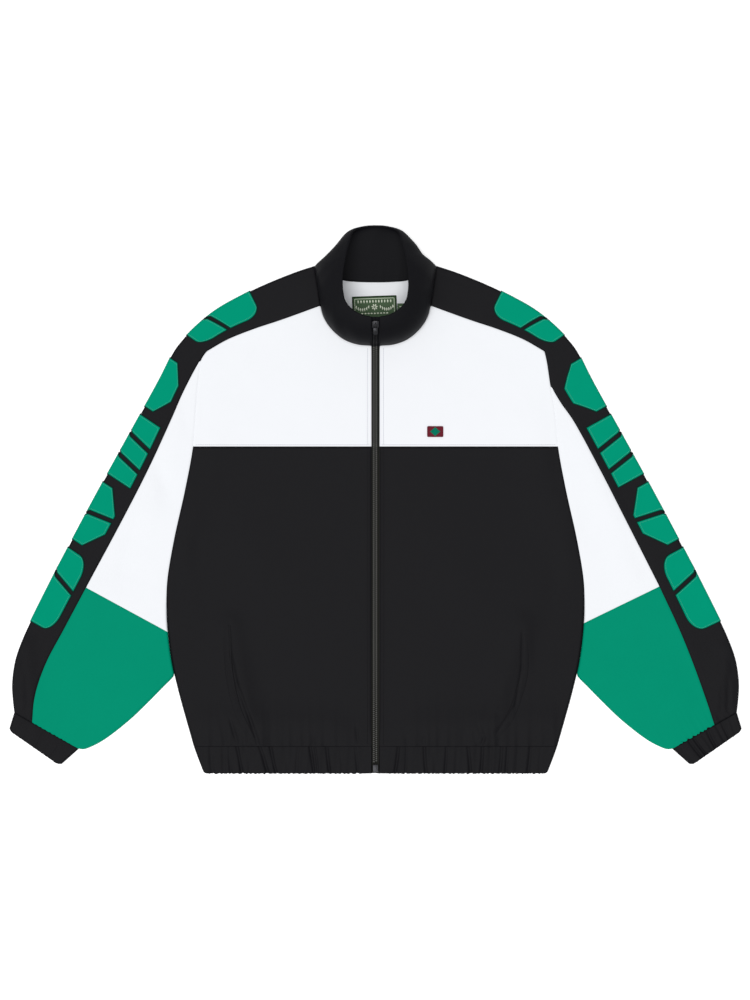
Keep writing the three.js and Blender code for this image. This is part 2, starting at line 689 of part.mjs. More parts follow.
// The zip's line up the centre front: over the hem and the fronts, then up the face of the collar.
function zipProfile() {
  const hem = [HEM_BOTTOM + 1, HEM_BOTTOM + 14, HEM_SEAM].map((y) => [y, HEM_TOP]);
  const body = heights(HEM_SEAM + 20, FRONT_NECK - 6, 22).map((y) => [y, loft(0, y)]);
  const collar = collarFace[0].map(({ y, z }) => [y, z]);
  return [...hem, ...body, ...collar.slice(1)];
}

const profile = zipProfile();

// A strip that follows the zip's line at a depth below its face.
function zipStrip({ from, to, widthAt, depth, thickness }) {
  const stations = profile.slice(from, to);
  const grid = stations.map(([y, z], i) => {
    const [before, after] = [stations[Math.max(0, i - 1)], stations[Math.min(stations.length - 1, i + 1)]];
    const tangent = new THREE.Vector2(after[0] - before[0], after[1] - before[1]).normalize();
    const [x0, x1] = widthAt(y);
    const at = (x) => new THREE.Vector3(x, y + tangent.y * depth, z - tangent.x * depth);
    return [at(x0), at((x0 + x1) / 2), at(x1)];
  });
  return wall(grid, thickness);
}

const COLLAR_TAPE = ZIP_GAP - SEAM;
const CHAIN_START = 1; // the station of the zip's line where the chain leaves the bottom box
const SLIDER_SHARE = 0.86; // of the collar's face from seam to top edge, at the slider's pivot
const SLIDER = { width: 9, length: 11, plate: 1.4, flange: 1.35, skirt: 1.7 };
const ARCH = { outer: 3.4, inner: 2, width: 1.4, sides: 12, root: 0.4 };
const PULL = { pivot: 1, thickness: 1, width: 5.8, bar: 1.1, window: 4, length: 14 };
const STOP = { width: 7.6, length: 10.5, height: 3.4 };

// The frame of the zip's line at the slider: its place, the way up the collar and the way out of it.
function sliderFrame() {
  const { crown, top } = COLLAR_SECTIONS[0];
  const [a, b, c] = [collarFace[0][0].clone(), new THREE.Vector3(...crown), new THREE.Vector3(...top)];
  const line = new THREE.QuadraticBezierCurve3(...[a, b, c].map((p) => p.setX(0)));
  const up = line.getTangent(SLIDER_SHARE);
  const out = new THREE.Vector3(1, 0, 0).cross(up);
  const chainTop = line.getPoint(SLIDER_SHARE).addScaledVector(out, SEAM);
  return new THREE.Matrix4().makeBasis(new THREE.Vector3(1, 0, 0), up, out).setPosition(chainTop);
}

const atSlider = sliderFrame();

function solidOf(geometry) {
  const plain = geometry.clone();
  for (const key of ["normal", "uv"]) plain.deleteAttribute(key);
  const merged = mergeVertices(plain, 1e-3);
  const triVerts = new Uint32Array(merged.index.array);
  const vertProperties = new Float32Array(merged.getAttribute("position").array);
  return new wasm.Manifold(new wasm.Mesh({ numProp: 3, vertProperties, triVerts }));
}

function geometryOf(solid) {
  const { vertProperties, triVerts } = solid.getMesh();
  const position = new THREE.BufferAttribute(vertProperties, 3);
  return new THREE.BufferGeometry().setAttribute("position", position).setIndex([...triVerts]);
}

const extruded = (outline, depth, hole) => {
  const shape = new THREE.Shape(outline.map(([x, y]) => new THREE.Vector2(x, y)));
  if (hole) shape.holes.push(new THREE.Path(hole.map(([x, y]) => new THREE.Vector2(x, y))));
  return new THREE.ExtrudeGeometry(shape, { depth, bevelEnabled: false });
};

function zip() {
  for (const [name, side] of Object.entries(SIDES)) {
    const underFront = (y) => y < FRONT_NECK - 8 && y > HEM_SEAM + 2;
    const widthAt = (y) => [TAPE_INNER, underFront(y) ? TAPE_UNDER_FRONT : COLLAR_TAPE];
    const tape = zipStrip({ from: 0, to: profile.length, widthAt, depth: TAPE_DEPTH, thickness: TAPE_CLOTH });
    add(`zip_tape_${name}`, onSide(tape, side), TAPE);
  }
  const chain = zipStrip({
    from: CHAIN_START,
    to: profile.length - 1,
    widthAt: () => [-CHAIN_WIDTH / 2, CHAIN_WIDTH / 2],
    depth: -SEAM,
    thickness: TAPE_DEPTH,
  });
  add("zip_chain", chain, COIL);
}

// Slider: a channel that straddles the chain, and on it the arch that carries the pull. Its own axes run
// across the zip, up the collar and out of it.
function slider() {
  const { width, length, plate: thick, flange, skirt } = SLIDER;
  const half = width / 2;
  const low = SEAM - skirt;
  const top = SEAM + thick;
  const section = [
    [-half, low],
    [-half + flange, low],
    [-half + flange, SEAM],
    [half - flange, SEAM],
    [half - flange, low],
    [half, low],
    [half, top],
    [-half, top],
  ];
  const channel = extruded(section, length).rotateX(Math.PI / 2).translate(0, length / 2, 0);
  const ring = (radius) => range(ARCH.sides + 1).map((i) => {
    const angle = (Math.PI * i) / ARCH.sides;
    return [radius * Math.cos(angle), top + radius * Math.sin(angle)];
  });
  const foot = top - ARCH.root;
  const outline = [
    [ARCH.outer, foot],
    ...ring(ARCH.outer),
    [-ARCH.outer, foot],
    [-ARCH.inner, foot],
    ...ring(ARCH.inner).reverse(),
    [ARCH.inner, foot],
  ];
  const arch = extruded(outline, ARCH.width).rotateX(Math.PI / 2).rotateZ(Math.PI / 2);
  arch.translate(-ARCH.width / 2, 0, 0);
  add("zip_slider", geometryOf(solidOf(channel).add(solidOf(arch))).applyMatrix4(atSlider), METAL);
}

// Pull tab: its upper bar passes through the arch, and the tab lies down the collar below it.
function pull() {
  const { width, thickness, bar, window, length, pivot } = PULL;
  const half = width / 2;
  const end = range(9).map((i) => {
    const angle = Math.PI + (Math.PI * i) / 8;
    return [half * Math.cos(angle), half - length + half * Math.sin(angle)];
  });
  const outline = [[half, thickness / 2], [-half, thickness / 2], ...end];
  const gap = [
    [-half + bar, -thickness / 2],
    [half - bar, -thickness / 2],
    [half - bar, -window],
    [-half + bar, -window],
  ];
  const tab = extruded(outline, thickness, gap).translate(0, 0, SEAM + SLIDER.plate + pivot - thickness / 2);
  add("zip_pull", tab.applyMatrix4(atSlider), METAL);
}

function stop() {
  const base = HEM_TOP - TAPE_DEPTH + SEAM;
  const box = new THREE.BoxGeometry(STOP.width, STOP.length, STOP.height);
  box.translate(0, HEM_BOTTOM + STOP.length / 2 + 1, base + STOP.height / 2);
  add("zip_stop", box, METAL);
}

const LAID_REACH = 40; // higher than any panel

// A thin piece laid on a panel: an outline cut from the cloth over the panel's own faces.
function laidOn(panel, outline, thickness) {
  const block = extruded(outline, LAID_REACH);
  const raised = (by) => solidOf(panel.geometry).translate([0, 0, by]);
  const slab = raised(SEAM + thickness).subtract(raised(SEAM));
  return geometryOf(slab.intersect(solidOf(block)));
}

// Side pockets: each has one welt along its slanted mouth, given by the mouth's line.
const POCKET_MOUTH = {
  right: [[-196.4, -168.8], [-195, -214.7], [-191, -248.4], [-181.6, -284.9], [-166, -316]],
  left: [[196.4, -180], [196.4, -234.9], [189.7, -261.9], [176.2, -295.7], [158, -317]],
};
const WELT = { width: 10, thickness: 0.9, parts: 8 };
const PATCH = { x: 80.8, y: 90.7, width: 24.4, height: 16.6, thickness: 0.9, corner: 1.6 };
const LABEL = { x: -1.5, top: 274, width: 56.9, height: 38, thickness: 0.7 };
const SIZE_TAB = { x: 33.2, top: 264, width: 10.6, height: 14, thickness: 0.5 };

function welt(name) {
  const line = smooth(POCKET_MOUTH[name], WELT.parts);
  const edge = (by) => line.map(([x, y], i) => {
    const [before, after] = [line[Math.max(0, i - 1)], line[Math.min(line.length - 1, i + 1)]];
    const [dx, dy] = [after[0] - before[0], after[1] - before[1]];
    const length = Math.hypot(dx, dy);
    return [x - (dy / length) * by, y + (dx / length) * by];
  });
  const outline = [...edge(-WELT.width / 2), ...edge(WELT.width / 2).reverse()];
  const panel = jacket.getObjectByName(`front_lower_${name}`);
  add(`pocket_welt_${name}`, laidOn(panel, outline, WELT.thickness), BLACK);
}

function rectangle({ x, y, width, height, corner }) {
  const [w, h] = [width / 2, height / 2];
  const quarter = [[w - corner, h], [w, h - corner]];
  return [
    ...quarter,
    ...quarter.map(([a, b]) => [a, -b]).reverse(),
    ...quarter.map(([a, b]) => [-a, -b]),
    ...quarter.map(([a, b]) => [-a, b]).reverse(),
  ].map(([a, b]) => [x + a, y + b]);
}

// Labels lie on the inner face of the back, inside the collar.
function label(name, { x, top, width, height, thickness }) {
  const box = new THREE.BoxGeometry(width, height, thickness);
  add(name, box.translate(x, top - height / 2, CLOTH + SEAM + thickness / 2), LABEL_CLOTH);
}

for (const [name, side] of Object.entries(SIDES)) {
  bodyFront(name, side);
  sleeve(name, side);
  cuff(name, side);
  welt(name);
}
const chest = jacket.getObjectByName("front_upper_left");
add("chest_patch", laidOn(chest, rectangle(PATCH), PATCH.thickness), THREAD);
label("neck_label", LABEL);
label("size_tab", SIZE_TAB);
hemBand();
zip();
slider();
pull();
stop();

export default jacket;
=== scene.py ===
"""Zip-front track jacket laid flat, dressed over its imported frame.

Lengths in the tables are millimetres on the jacket's plan, x towards the wearer's left, y towards the
collar and z up from the surface that it lies on. Meshes are made in metres.
"""
import math

import bmesh
import bpy
import numpy as np
from mathutils import Matrix, Vector


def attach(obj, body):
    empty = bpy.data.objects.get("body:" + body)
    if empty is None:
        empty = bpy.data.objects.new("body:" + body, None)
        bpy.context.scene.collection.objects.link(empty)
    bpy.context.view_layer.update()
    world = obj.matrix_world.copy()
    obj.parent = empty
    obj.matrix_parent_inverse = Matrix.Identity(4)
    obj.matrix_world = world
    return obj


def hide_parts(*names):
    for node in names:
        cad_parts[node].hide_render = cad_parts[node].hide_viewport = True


bl_info = {
    "name": "Flat-laid Track Jacket",
    "version": (1, 0, 0),
    "blender": (4, 5, 0),
    "location": "View3D > Sidebar > Jacket",
    "description": "Builds the cloth, zip and trims of a track jacket over its frame",
    "category": "Add Mesh",
}

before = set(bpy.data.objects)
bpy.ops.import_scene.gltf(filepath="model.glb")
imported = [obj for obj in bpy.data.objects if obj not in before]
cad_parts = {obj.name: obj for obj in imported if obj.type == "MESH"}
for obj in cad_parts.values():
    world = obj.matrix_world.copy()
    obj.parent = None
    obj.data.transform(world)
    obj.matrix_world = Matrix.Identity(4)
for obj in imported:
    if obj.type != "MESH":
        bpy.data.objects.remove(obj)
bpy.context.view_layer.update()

MM = 0.001
SEAM = 0.3
CLOTH = 1.6
LIE = 5.2
CHEST_SEAM = 70.9
HEM_SEAM = -333.5
HEM_BOTTOM = -369.5
FRONT_NECK = 206.5
BACK_NECK = 293
PIT = -140
ZIP_GAP = 5.7
COLLAR_CLOTH = 2.8
CASING_CLOTH = 2.2
SIDES = {"right": -1, "left": 1}

# Outlines of the left half, as on the solids. The armhole bends a little differently on each side.
ARMHOLE_TOP = {
    "right": [(228, 199), (235.2, 187.7), (238.2, 168), (242.6, 118)],
    "left": [(228, 199), (231.2, 184), (235.4, 156), (241.4, 122)],
}
BODY_EDGE = [
    (246.4, 70), (257, 12), (271.8, -55), (280.8, -109), (282, PIT), (280.4, -177), (275.4, -217),
    (266.4, -258), (245.4, HEM_SEAM),
]
UNDERARM = -237
UNDERARM_EDGE = [
    (271.4, UNDERARM), (273.6, -240.6), (287, -254.2), (303.8, -271.4), (332, -298.4), (367, -325.4),
    (384, -334.4), (394, -337.8), (400.3, -337),
]
SHOULDER_LINE = [
    (82.4, 314.4), (106.7, 306.5), (147.2, 290.3), (181.6, 274), (214.7, 255.2), (239, 236),
    (257, 218.5),
]
SLEEVE_LINE_UPPER = [
    (257, 218.5), (270.7, 201.2), (291.6, 160.7), (336.2, 79.7), (380.7, -1.4), (429.3, -93.2),
]
SLEEVE_LINE_LOWER = [
    (429.3, -93.2), (464.4, -163.4), (476.6, -190.4), (486, -217.4), (490.4, -249), (489.4, -271),
    (487.4, -288.2),
]
NECK_CORNER = (74.3, 260.6)
SHOULDER_CORNER = (228, 199)
SHOULDER_SEAM = [NECK_CORNER, (126.9, 241.7), (166.7, 228.4), (200.5, 214.7), SHOULDER_CORNER]
COLLAR_SEAM = [(ZIP_GAP, FRONT_NECK), (24, 208), (43, 215), (60, 229.5), (69.8, 245), NECK_CORNER]
BAND_BACK_NECK = (58, 299.5)
BAND_BACK_EDGE = [BAND_BACK_NECK, (112, 258), (166.7, 232), (200.5, 215), SHOULDER_CORNER]
BACK_NECK_SEAM = [(0, BACK_NECK), (14, BACK_NECK), (44, 295.5), BAND_BACK_NECK]
# The seam between band and sleeve, and the height on the body where the sleeve's colours meet.
SLEEVE_SEAM = {
    "right": {
        "upper": [SHOULDER_CORNER, (236, 188), (259.5, 143.8), (274, 110.5), (307, 39),
                  (341.6, -28.4), (390.5, -119.5)],
        "lower": [(390.5, -119.5), (421.2, -177), (442.8, -217.4), (454, -246), (460.4, -271.4),
                  (463.3, -301.6)],
        "tip": 187,
        "scallop": 0.7,
        "colours_meet": -179.5,
    },
    "left": {
        "upper": [SHOULDER_CORNER, (231.5, 184), (236.2, 155), (249, 131), (266, 106.7), (303, 39),
                  (337.5, -28.4), (383, -118)],
        "lower": [(383, -118), (410.4, -177), (429.3, -224), (446.2, -271.4), (457.2, -304.9)],
        "tip": 152.5,
        "scallop": 1.9,
        "colours_meet": -167.5,
    },
}
CUFF_SEAM = [(400.3, -337), (487.4, -288.2)]
CUFF_END = [(425.7, -359.6), (494.6, -311.8)]

# Broad folds of the top cloth, as on the solids: from, to, half width, rise.
FOLDS = [
    ((-395, -262), (-330, -262), 46, 3.4),
    ((395, -268), (330, -262), 46, 3.4),
    ((-474, -200), (-466, -268), 15, 2.2),
    ((476, -205), (468, -268), 15, 2.6),
    ((-230, -298), (-60, -304), 20, 1.8),
    ((230, -298), (60, -304), 20, 1.8),
    ((-196, -170), (-160, -322), 16, 1.9),
    ((197, -170), (150, -318), 17, 2.1),
    ((-262, -60), (-205, 120), 26, 1.2),
    ((262, -70), (208, 110), 26, 1.2),
    ((-330, -70), (-262, 110), 22, 1.3),
    ((345, -95), (268, 90), 22, 1.3),
]
HEM_LIFT = {"from": -285, "rise": 1.1}
NECK_LIFT = {"y": 272, "across": 78, "along": 66, "rise": 4.6, "fade": 22}

# Fine creases of the top cloth: from, to, half width, and rise, which is negative for a trough.
CREASES = [
    ((-196.4, -166), (-195.4, -222), 1.7, -0.9),
    ((-195.6, -206), (-186.4, -256), 1.8, -1.1),
    ((-188.6, -244), (-166, -306), 1.9, -1.25),
    ((-172, -288), (-158, -331), 2.3, -1.3),
    ((-188, -215), (-172, -300), 9, 0.8),
    ((-196.5, -296), (-186.5, -329), 2.0, -1.1),
    ((-210, -290), (-204, -326), 4, -0.6),
    ((-26, -306), (-24, -327), 1.9, -1.0),
    ((-84, -322), (-83, -331), 1.8, -0.7),
    ((198.2, -178), (197.6, -234), 1.7, -0.9),
    ((198, -222), (187.6, -286), 1.8, -0.8),
    ((190, -276), (162, -318), 1.9, -0.7),
    ((206, -180), (206, -240), 7, 0.7),
    ((139, -306), (147.5, -326), 2.0, -1.3),
    ((148, -320), (142, -333), 1.9, -1.2),
    ((132, -312), (134, -326), 1.8, -0.6),
    ((41, -320), (43, -332), 1.8, -0.7),
    ((66, -318), (65, -331), 1.8, -0.6),
    ((152, -292), (170, -290), 1.9, -0.5),
    ((-245, 30), (-232, 176), 12, -0.7),
    ((-262, -96), (-246, 10), 14, 0.7),
    ((246, 20), (236, 150), 12, -0.6),
    ((262, -110), (252, -20), 14, 0.6),
    ((-298, 62), (-280, 4), 13, -2.8),
    ((-344, -108), (-322, -40), 15, -3.0),
    ((-312, -46), (-296, 4), 12, 1.4),
    ((-374, -112), (-356, -80), 10, -1.2),
    ((-262, 150), (-254, 90), 8, -0.8),
    ((-300, -120), (-270, 40), 16, 0.9),
    ((282, 66), (322, -34), 13, 1.1),
    ((344, -60), (372, -112), 12, -0.9),
    ((-444, -236), (-420, -290), 20, -1.3),
    ((-392, -196), (-326, -232), 26, 0.9),
    ((430, -232), (444, -286), 14, -1.2),
    ((392, -180), (424, -270), 18, -0.9),
    ((-60, 190), (-96, 90), 22, 0.5),
    ((64, 184), (120, 84), 24, 0.5),
    ((-200, 196), (-120, 214), 16, -0.5),
    ((196, 190), (150, 206), 14, -0.5),
    ((476, -235), (475, -288), 3.4, -1.5),
    ((468, -244), (466, -290), 3, -0.9),
    ((483, -240), (483, -284), 3, 0.9),
    ((-478, -232), (-476, -286), 5, -0.8),
    ((-150, -120), (-176, -30), 30, 0.6),
    ((140, -150), (90, -60), 34, 0.6),
    ((-230, -150), (-240, -60), 10, -0.5),
    ((232, -170), (242, -80), 10, -0.5),
]

SHARP_CREASE = 6  # below this half width a crease shows on the outer face alone
CREASE_END = 0.25  # share of its rise that a crease keeps at its ends
LAY = {"rise": 0.35, "across": 41, "up": 53}  # slow unevenness of the cloth that lies quietly

# Gathers: how far they fade into the panel, their rise and spacing, and the distances from the centre
# line over which they set in and die away.
HEM_GATHER = {"reach": 26, "rise": 0.55, "pitch": 15.5, "seed": 0.7, "zip": (16, 50), "side": (250, 262)}
CUFF_GATHER = {"reach": 19, "rise": 0.45, "pitch": 9.5, "sleeve": (300, 330)}

# How far the cloth turns down into a seam, and the share of that lost between two heights near the hem.
SEAM_ROLL = {"depth": 0.7, "reach": 1.3, "calmed": 0.75, "from": -300, "to": -325}
FOLD_REACH = 3.4  # how far in from its outer edge the top cloth starts to turn down
FOLD_FOOT = 2.4  # where it ends over the back cloth
PIT_BLEND = (14, 26)  # above and below the armpit, where the seam's edge becomes a fold
TURN_UP = 1.5  # how far in from its edge a back panel starts to turn up
BACK_WAVE = 0.12  # unevenness of a back panel's inner face
EDGE_MARKS = (0.35, 0.9, 1.7, 2.8, 4.2)

# Rough widths and heights that the meshes of the panels are spaced over, and the back's coarser step.
FRONT_SPAN = {"width": 260, "lower": 404, "upper": 135}
BACK_SPAN = {"width": 520, "lower": 400, "upper": 175}
SLEEVE_SPAN = {"upper": (80, 330), "lower": (130, 190)}
SLEEVE_POINTS = {"side": 120, "underarm": 24, "foot": 110}
BACK_STEP = 7.0
SIDE_POINTS = {"lower": 120, "upper": 60}
CUFF_SCALLOP = {"pitch": 6.4, "seed": 0.9, "base": 0.25, "band": 6, "underarm": (22, 6)}


def smoothstep(value, low, high):
    """0 below low and 1 above high, for low below high."""
    t = np.clip((value - low) / (high - low), 0, 1)
    return t * t * (3 - 2 * t)


def off_segment(x, y, start, end):
    """Distance from each point to a segment, and how far along it the nearest point is."""
    dx, dy = end[0] - start[0], end[1] - start[1]
    t = np.clip(((x - start[0]) * dx + (y - start[1]) * dy) / (dx * dx + dy * dy), 0, 1)
    return np.hypot(x - start[0] - t * dx, y - start[1] - t * dy), t


def uneven_wave(place, pitch, seed):
    """A wave whose crests differ in spacing and height, between about -1 and 1."""
    turn = 2 * math.pi * np.asarray(place) / pitch
    return (
        0.62 * np.sin(turn + 1.3 * np.sin(turn * 0.173 + seed))
        + 0.3 * np.sin(turn * 0.61 + 2.1 * seed)
        + 0.22 * np.sin(turn * 1.73 + 3.7 * seed)
    )


def quiet_height(x, y):
    """Height of the top cloth's outer face before the fine creases."""
    z = LIE + LAY["rise"] * np.sin(x / LAY["across"] + 0.6) * np.cos(y / LAY["up"] - 0.4)
    z = z + HEM_LIFT["rise"] * smoothstep(-y, -HEM_LIFT["from"], -HEM_SEAM)
    ring = np.hypot(x / NECK_LIFT["across"], (y - NECK_LIFT["y"]) / NECK_LIFT["along"])
    beyond = np.maximum(ring - 1, 0) * NECK_LIFT["along"]
    z = z + NECK_LIFT["rise"] * np.exp(-beyond / NECK_LIFT["fade"])
    for start, end, width, rise in FOLDS:
        away, _ = off_segment(x, y, start, end)
        z = z + rise * np.exp(-((away / width) ** 2))
    return z


def hem_gather(x, y):
    """Rise of the gathers that the hem band draws into the lower fronts."""
    near = np.exp(-np.maximum(y - HEM_SEAM, 0) / HEM_GATHER["reach"])
    from_zip, to_side = (smoothstep(np.abs(x), *HEM_GATHER[key]) for key in ("zip", "side"))
    wave = uneven_wave(x, HEM_GATHER["pitch"], HEM_GATHER["seed"])
    return HEM_GATHER["rise"] * near * (from_zip * (1 - to_side)) * wave


def cuff_gather(x, y):
    """Rise of the gathers that the cuffs draw into the lower sleeves."""
    inner, outer = np.array(CUFF_SEAM[0]), np.array(CUFF_SEAM[1])
    run = (outer - inner) / np.linalg.norm(outer - inner)
    across = (np.abs(x) - inner[0]) * run[0] + (y - inner[1]) * run[1]
    above = (np.abs(x) - inner[0]) * -run[1] + (y - inner[1]) * run[0]
    near = np.exp(-np.maximum(above, 0) / CUFF_GATHER["reach"])
    near = near * smoothstep(np.abs(x), *CUFF_GATHER["sleeve"])
    wave = uneven_wave(across, CUFF_GATHER["pitch"], 1.9 + 0.4 * np.sign(x))
    return CUFF_GATHER["rise"] * near * wave


def top_height(x, y, sharp=True):
    """Height of the top cloth's outer face over points of the plan, with or without its sharp creases."""
    z = quiet_height(x, y)
    for start, end, width, rise in CREASES:
        if width < SHARP_CREASE and not sharp:
            continue
        away, t = off_segment(x, y, start, end)
        taper = CREASE_END + (1 - CREASE_END) * np.sqrt(np.sin(np.pi * np.clip(t, 0.02, 0.98)))
        z = z + rise * taper * np.exp(-((away / width) ** 2))
    return z + hem_gather(x, y) + cuff_gather(x, y)


def catmull(points, per_span=24):
    """A dense smooth line through the points, with the same rounding as on the solids."""
    p = np.asarray(points, float)
    p = np.vstack([2 * p[0] - p[1], p, 2 * p[-1] - p[-2]])
    line = []
    t = (np.arange(per_span) / per_span)[:, None]
    for a, b, c, d in zip(p[:-3], p[1:-2], p[2:-1], p[3:]):
        s0, s1, s2 = (math.sqrt(np.linalg.norm(n - m)) for m, n in ((a, b), (b, c), (c, d)))
        t1 = ((b - a) / s0 - (c - a) / (s0 + s1) + (c - b) / s1) * s1
        t2 = ((c - b) / s1 - (d - b) / (s1 + s2) + (d - c) / s2) * s1
        cubic = (2 * (b - c) + t1 + t2) * t**3
        line.append(b + t1 * t + (3 * (c - b) - 2 * t1 - t2) * t**2 + cubic)
    return np.vstack([*line, p[-2:-1]])


def running(line):
    """Length of a polyline up to each of its points."""
    return np.r_[0, np.cumsum(np.linalg.norm(np.diff(np.asarray(line, float), axis=0), axis=1))]


def along(line, shares):
    """Points of a polyline at shares of its length."""
    line, steps = np.asarray(line, float), running(line)
    at = np.asarray(shares, float) * steps[-1]
    return np.stack([np.interp(at, steps, line[:, k]) for k in range(line.shape[1])], axis=-1)


def at_heights(line, heights):
    """Points of a line that runs down the jacket, at the given heights."""
    heights = np.asarray(heights, float)
    return np.stack([np.interp(-heights, -line[:, 1], line[:, 0]), heights], axis=-1)


def spread(length, step, marks=EDGE_MARKS):
    """Shares of a length with even steps, and closer ones beside both ends."""
    count = max(2, int(round((length - 2 * marks[-1]) / step)) + 1)
    inner = np.linspace(marks[-1], length - marks[-1], count)
    return np.r_[0, marks[:-1], inner, length - np.array(marks[:-1])[::-1], length] / length


def coons(foot, head, low_side, high_side, us, vs):
    """Plan points inside four lines. Foot and head run outwards, the sides run upwards."""
    u, v = us[None, :, None], vs[:, None, None]
    f, h = along(foot, us)[None], along(head, us)[None]
    low, high = along(low_side, vs)[:, None], along(high_side, vs)[:, None]
    corners = (1 - v) * ((1 - u) * f[:, :1] + u * f[:, -1:]) + v * ((1 - u) * h[:, :1] + u * h[:, -1:])
    return (1 - v) * f + v * h + (1 - u) * low + u * high - corners


def shrink(plan, gap=SEAM / 2):
    """Draws the edge points of a plan grid in by the seam's half gap."""
    out = plan.copy()
    beside = ((np.s_[:, 0], np.s_[:, 1]), (np.s_[:, -1], np.s_[:, -2]),
              (np.s_[0], np.s_[1]), (np.s_[-1], np.s_[-2]))
    for edge, next_in in beside:
        step = plan[next_in] - plan[edge]
        size = np.maximum(np.linalg.norm(step, axis=-1, keepdims=True), 1e-9)
        out[edge] += step / size * np.minimum(gap, size / 2)
    return out


def edge_distances(grid):
    """Distance of each grid point to the low and high sides, the foot and the head."""
    columns = np.linalg.norm(np.diff(grid, axis=1), axis=2)
    rows = np.linalg.norm(np.diff(grid, axis=0), axis=2)
    low = np.concatenate([np.zeros((grid.shape[0], 1)), np.cumsum(columns, axis=1)], axis=1)
    foot = np.concatenate([np.zeros((1, grid.shape[1])), np.cumsum(rows, axis=0)], axis=0)
    return {"low": low, "high": low[:, -1:] - low, "foot": foot, "head": foot[-1:] - foot}


def normals_of(grid, closed=False, probe=(0.5, 0.5)):
    """Unit normals of a grid of points, on the side that faces up at the probe's place."""
    if closed:
        across = np.roll(grid, -1, axis=1) - np.roll(grid, 1, axis=1)
    else:
        across = np.gradient(grid, axis=1)
    n = np.cross(across, np.gradient(grid, axis=0))
    n /= np.maximum(np.linalg.norm(n, axis=2, keepdims=True), 1e-12)
    i, j = (int(share * (count - 1)) for share, count in zip(probe, grid.shape))
    return n * np.sign(n[i, j, 2])


def mesh_object(name, vertices, faces, material, smooth=True):
    """A mesh piece in metres from points in millimetres."""
    name = "jacket_" + name.replace(" ", "_")
    mesh = bpy.data.meshes.new(name)
    listed = [tuple(int(i) for i in face) for face in faces]
    mesh.from_pydata((np.asarray(vertices) * MM).tolist(), [], listed)
    mesh.validate()
    bm = bmesh.new()
    bm.from_mesh(mesh)
    bmesh.ops.recalc_face_normals(bm, faces=bm.faces)
    bm.to_mesh(mesh)
    bm.free()
    piece = bpy.data.objects.new(name, mesh)
    bpy.context.scene.collection.objects.link(piece)
    mesh.materials.append(material)
    mesh.polygons.foreach_set("use_smooth", [smooth] * len(mesh.polygons))
    return piece


def grid_faces(rows, cols, closed=False, start=0):
    """The four-sided faces of a grid of points, numbered row by row."""
    i, j = np.meshgrid(np.arange(rows - 1), np.arange(cols if closed else cols - 1), indexing="ij")
    k = (j + 1) % cols
    corners = (i * cols + j, i * cols + k, (i + 1) * cols + k, (i + 1) * cols + j)
    return start + np.stack(corners, axis=-1).reshape(-1, 4)


def rim(outer, inner, away, outer_ids, inner_ids, start, bulge):
    """Points and faces of a rounded edge between two rings of points."""
    thick = np.linalg.norm(outer - inner, axis=1, keepdims=True)
    away = away / np.maximum(np.linalg.norm(away, axis=1, keepdims=True), 1e-9)
    points = (outer + inner) / 2 + away * thick * bulge
    mid = start + np.arange(len(outer))
    faces = [np.stack([a, np.roll(a, -1), np.roll(b, -1), b], axis=-1)
             for a, b in ((outer_ids, mid), (mid, inner_ids))]
    return points, np.vstack(faces)


def shell(outer, inner, closed=False, bulge=0.3):
    """Vertices and faces of a closed cloth wall between two grids, with a rounded edge all round."""
    rows, cols = outer.shape[:2]
    count = rows * cols
    ids = np.arange(count).reshape(rows, cols)
    vertices = [outer.reshape(-1, 3), inner.reshape(-1, 3)]
    faces = [grid_faces(rows, cols, closed), grid_faces(rows, cols, closed, count)[:, ::-1]]
    away = np.zeros_like(outer)
    away[0] += outer[0] - outer[1]
    away[-1] += outer[-1] - outer[-2]
    if closed:
        rings = [ids[0], ids[-1]]
    else:
        away[:, 0] += outer[:, 0] - outer[:, 1]
        away[:, -1] += outer[:, -1] - outer[:, -2]
        rings = [np.r_[ids[0], ids[1:, -1], ids[-1, -2::-1], ids[-2:0:-1, 0]]]
    start = 2 * count
    for ring in rings:
        flat_outer, flat_inner = vertices[0][ring], vertices[1][ring]
        points, sides = rim(flat_outer, flat_inner, away.reshape(-1, 3)[ring], ring, ring + count,
                            start, bulge)
        vertices.append(points)
        faces.append(sides)
        start += len(points)
    return np.vstack(vertices), np.vstack(faces)


def cloth_wall(name, outer, thickness, material, closed=False, probe=(0.5, 0.5), bulge=0.3, base=None):
    """A wall behind an outer face. Its inner face follows the base, which leaves out sharp creases."""
    base = outer if base is None else base
    inner = base - normals_of(base, closed, probe) * thickness
    return mesh_object(name, *shell(outer, inner, closed, bulge), material)


def joined(name, parts, material, smooth=True):
    """One mesh piece from many small closed ones, each given as vertices and faces."""
    vertices, faces, start = [], [], 0
    for points, sides in parts:
        vertices.append(points)
        faces.extend(tuple(start + int(i) for i in side) for side in sides)
        start += len(points)
    return mesh_object(name, np.vstack(vertices), faces, material, smooth)


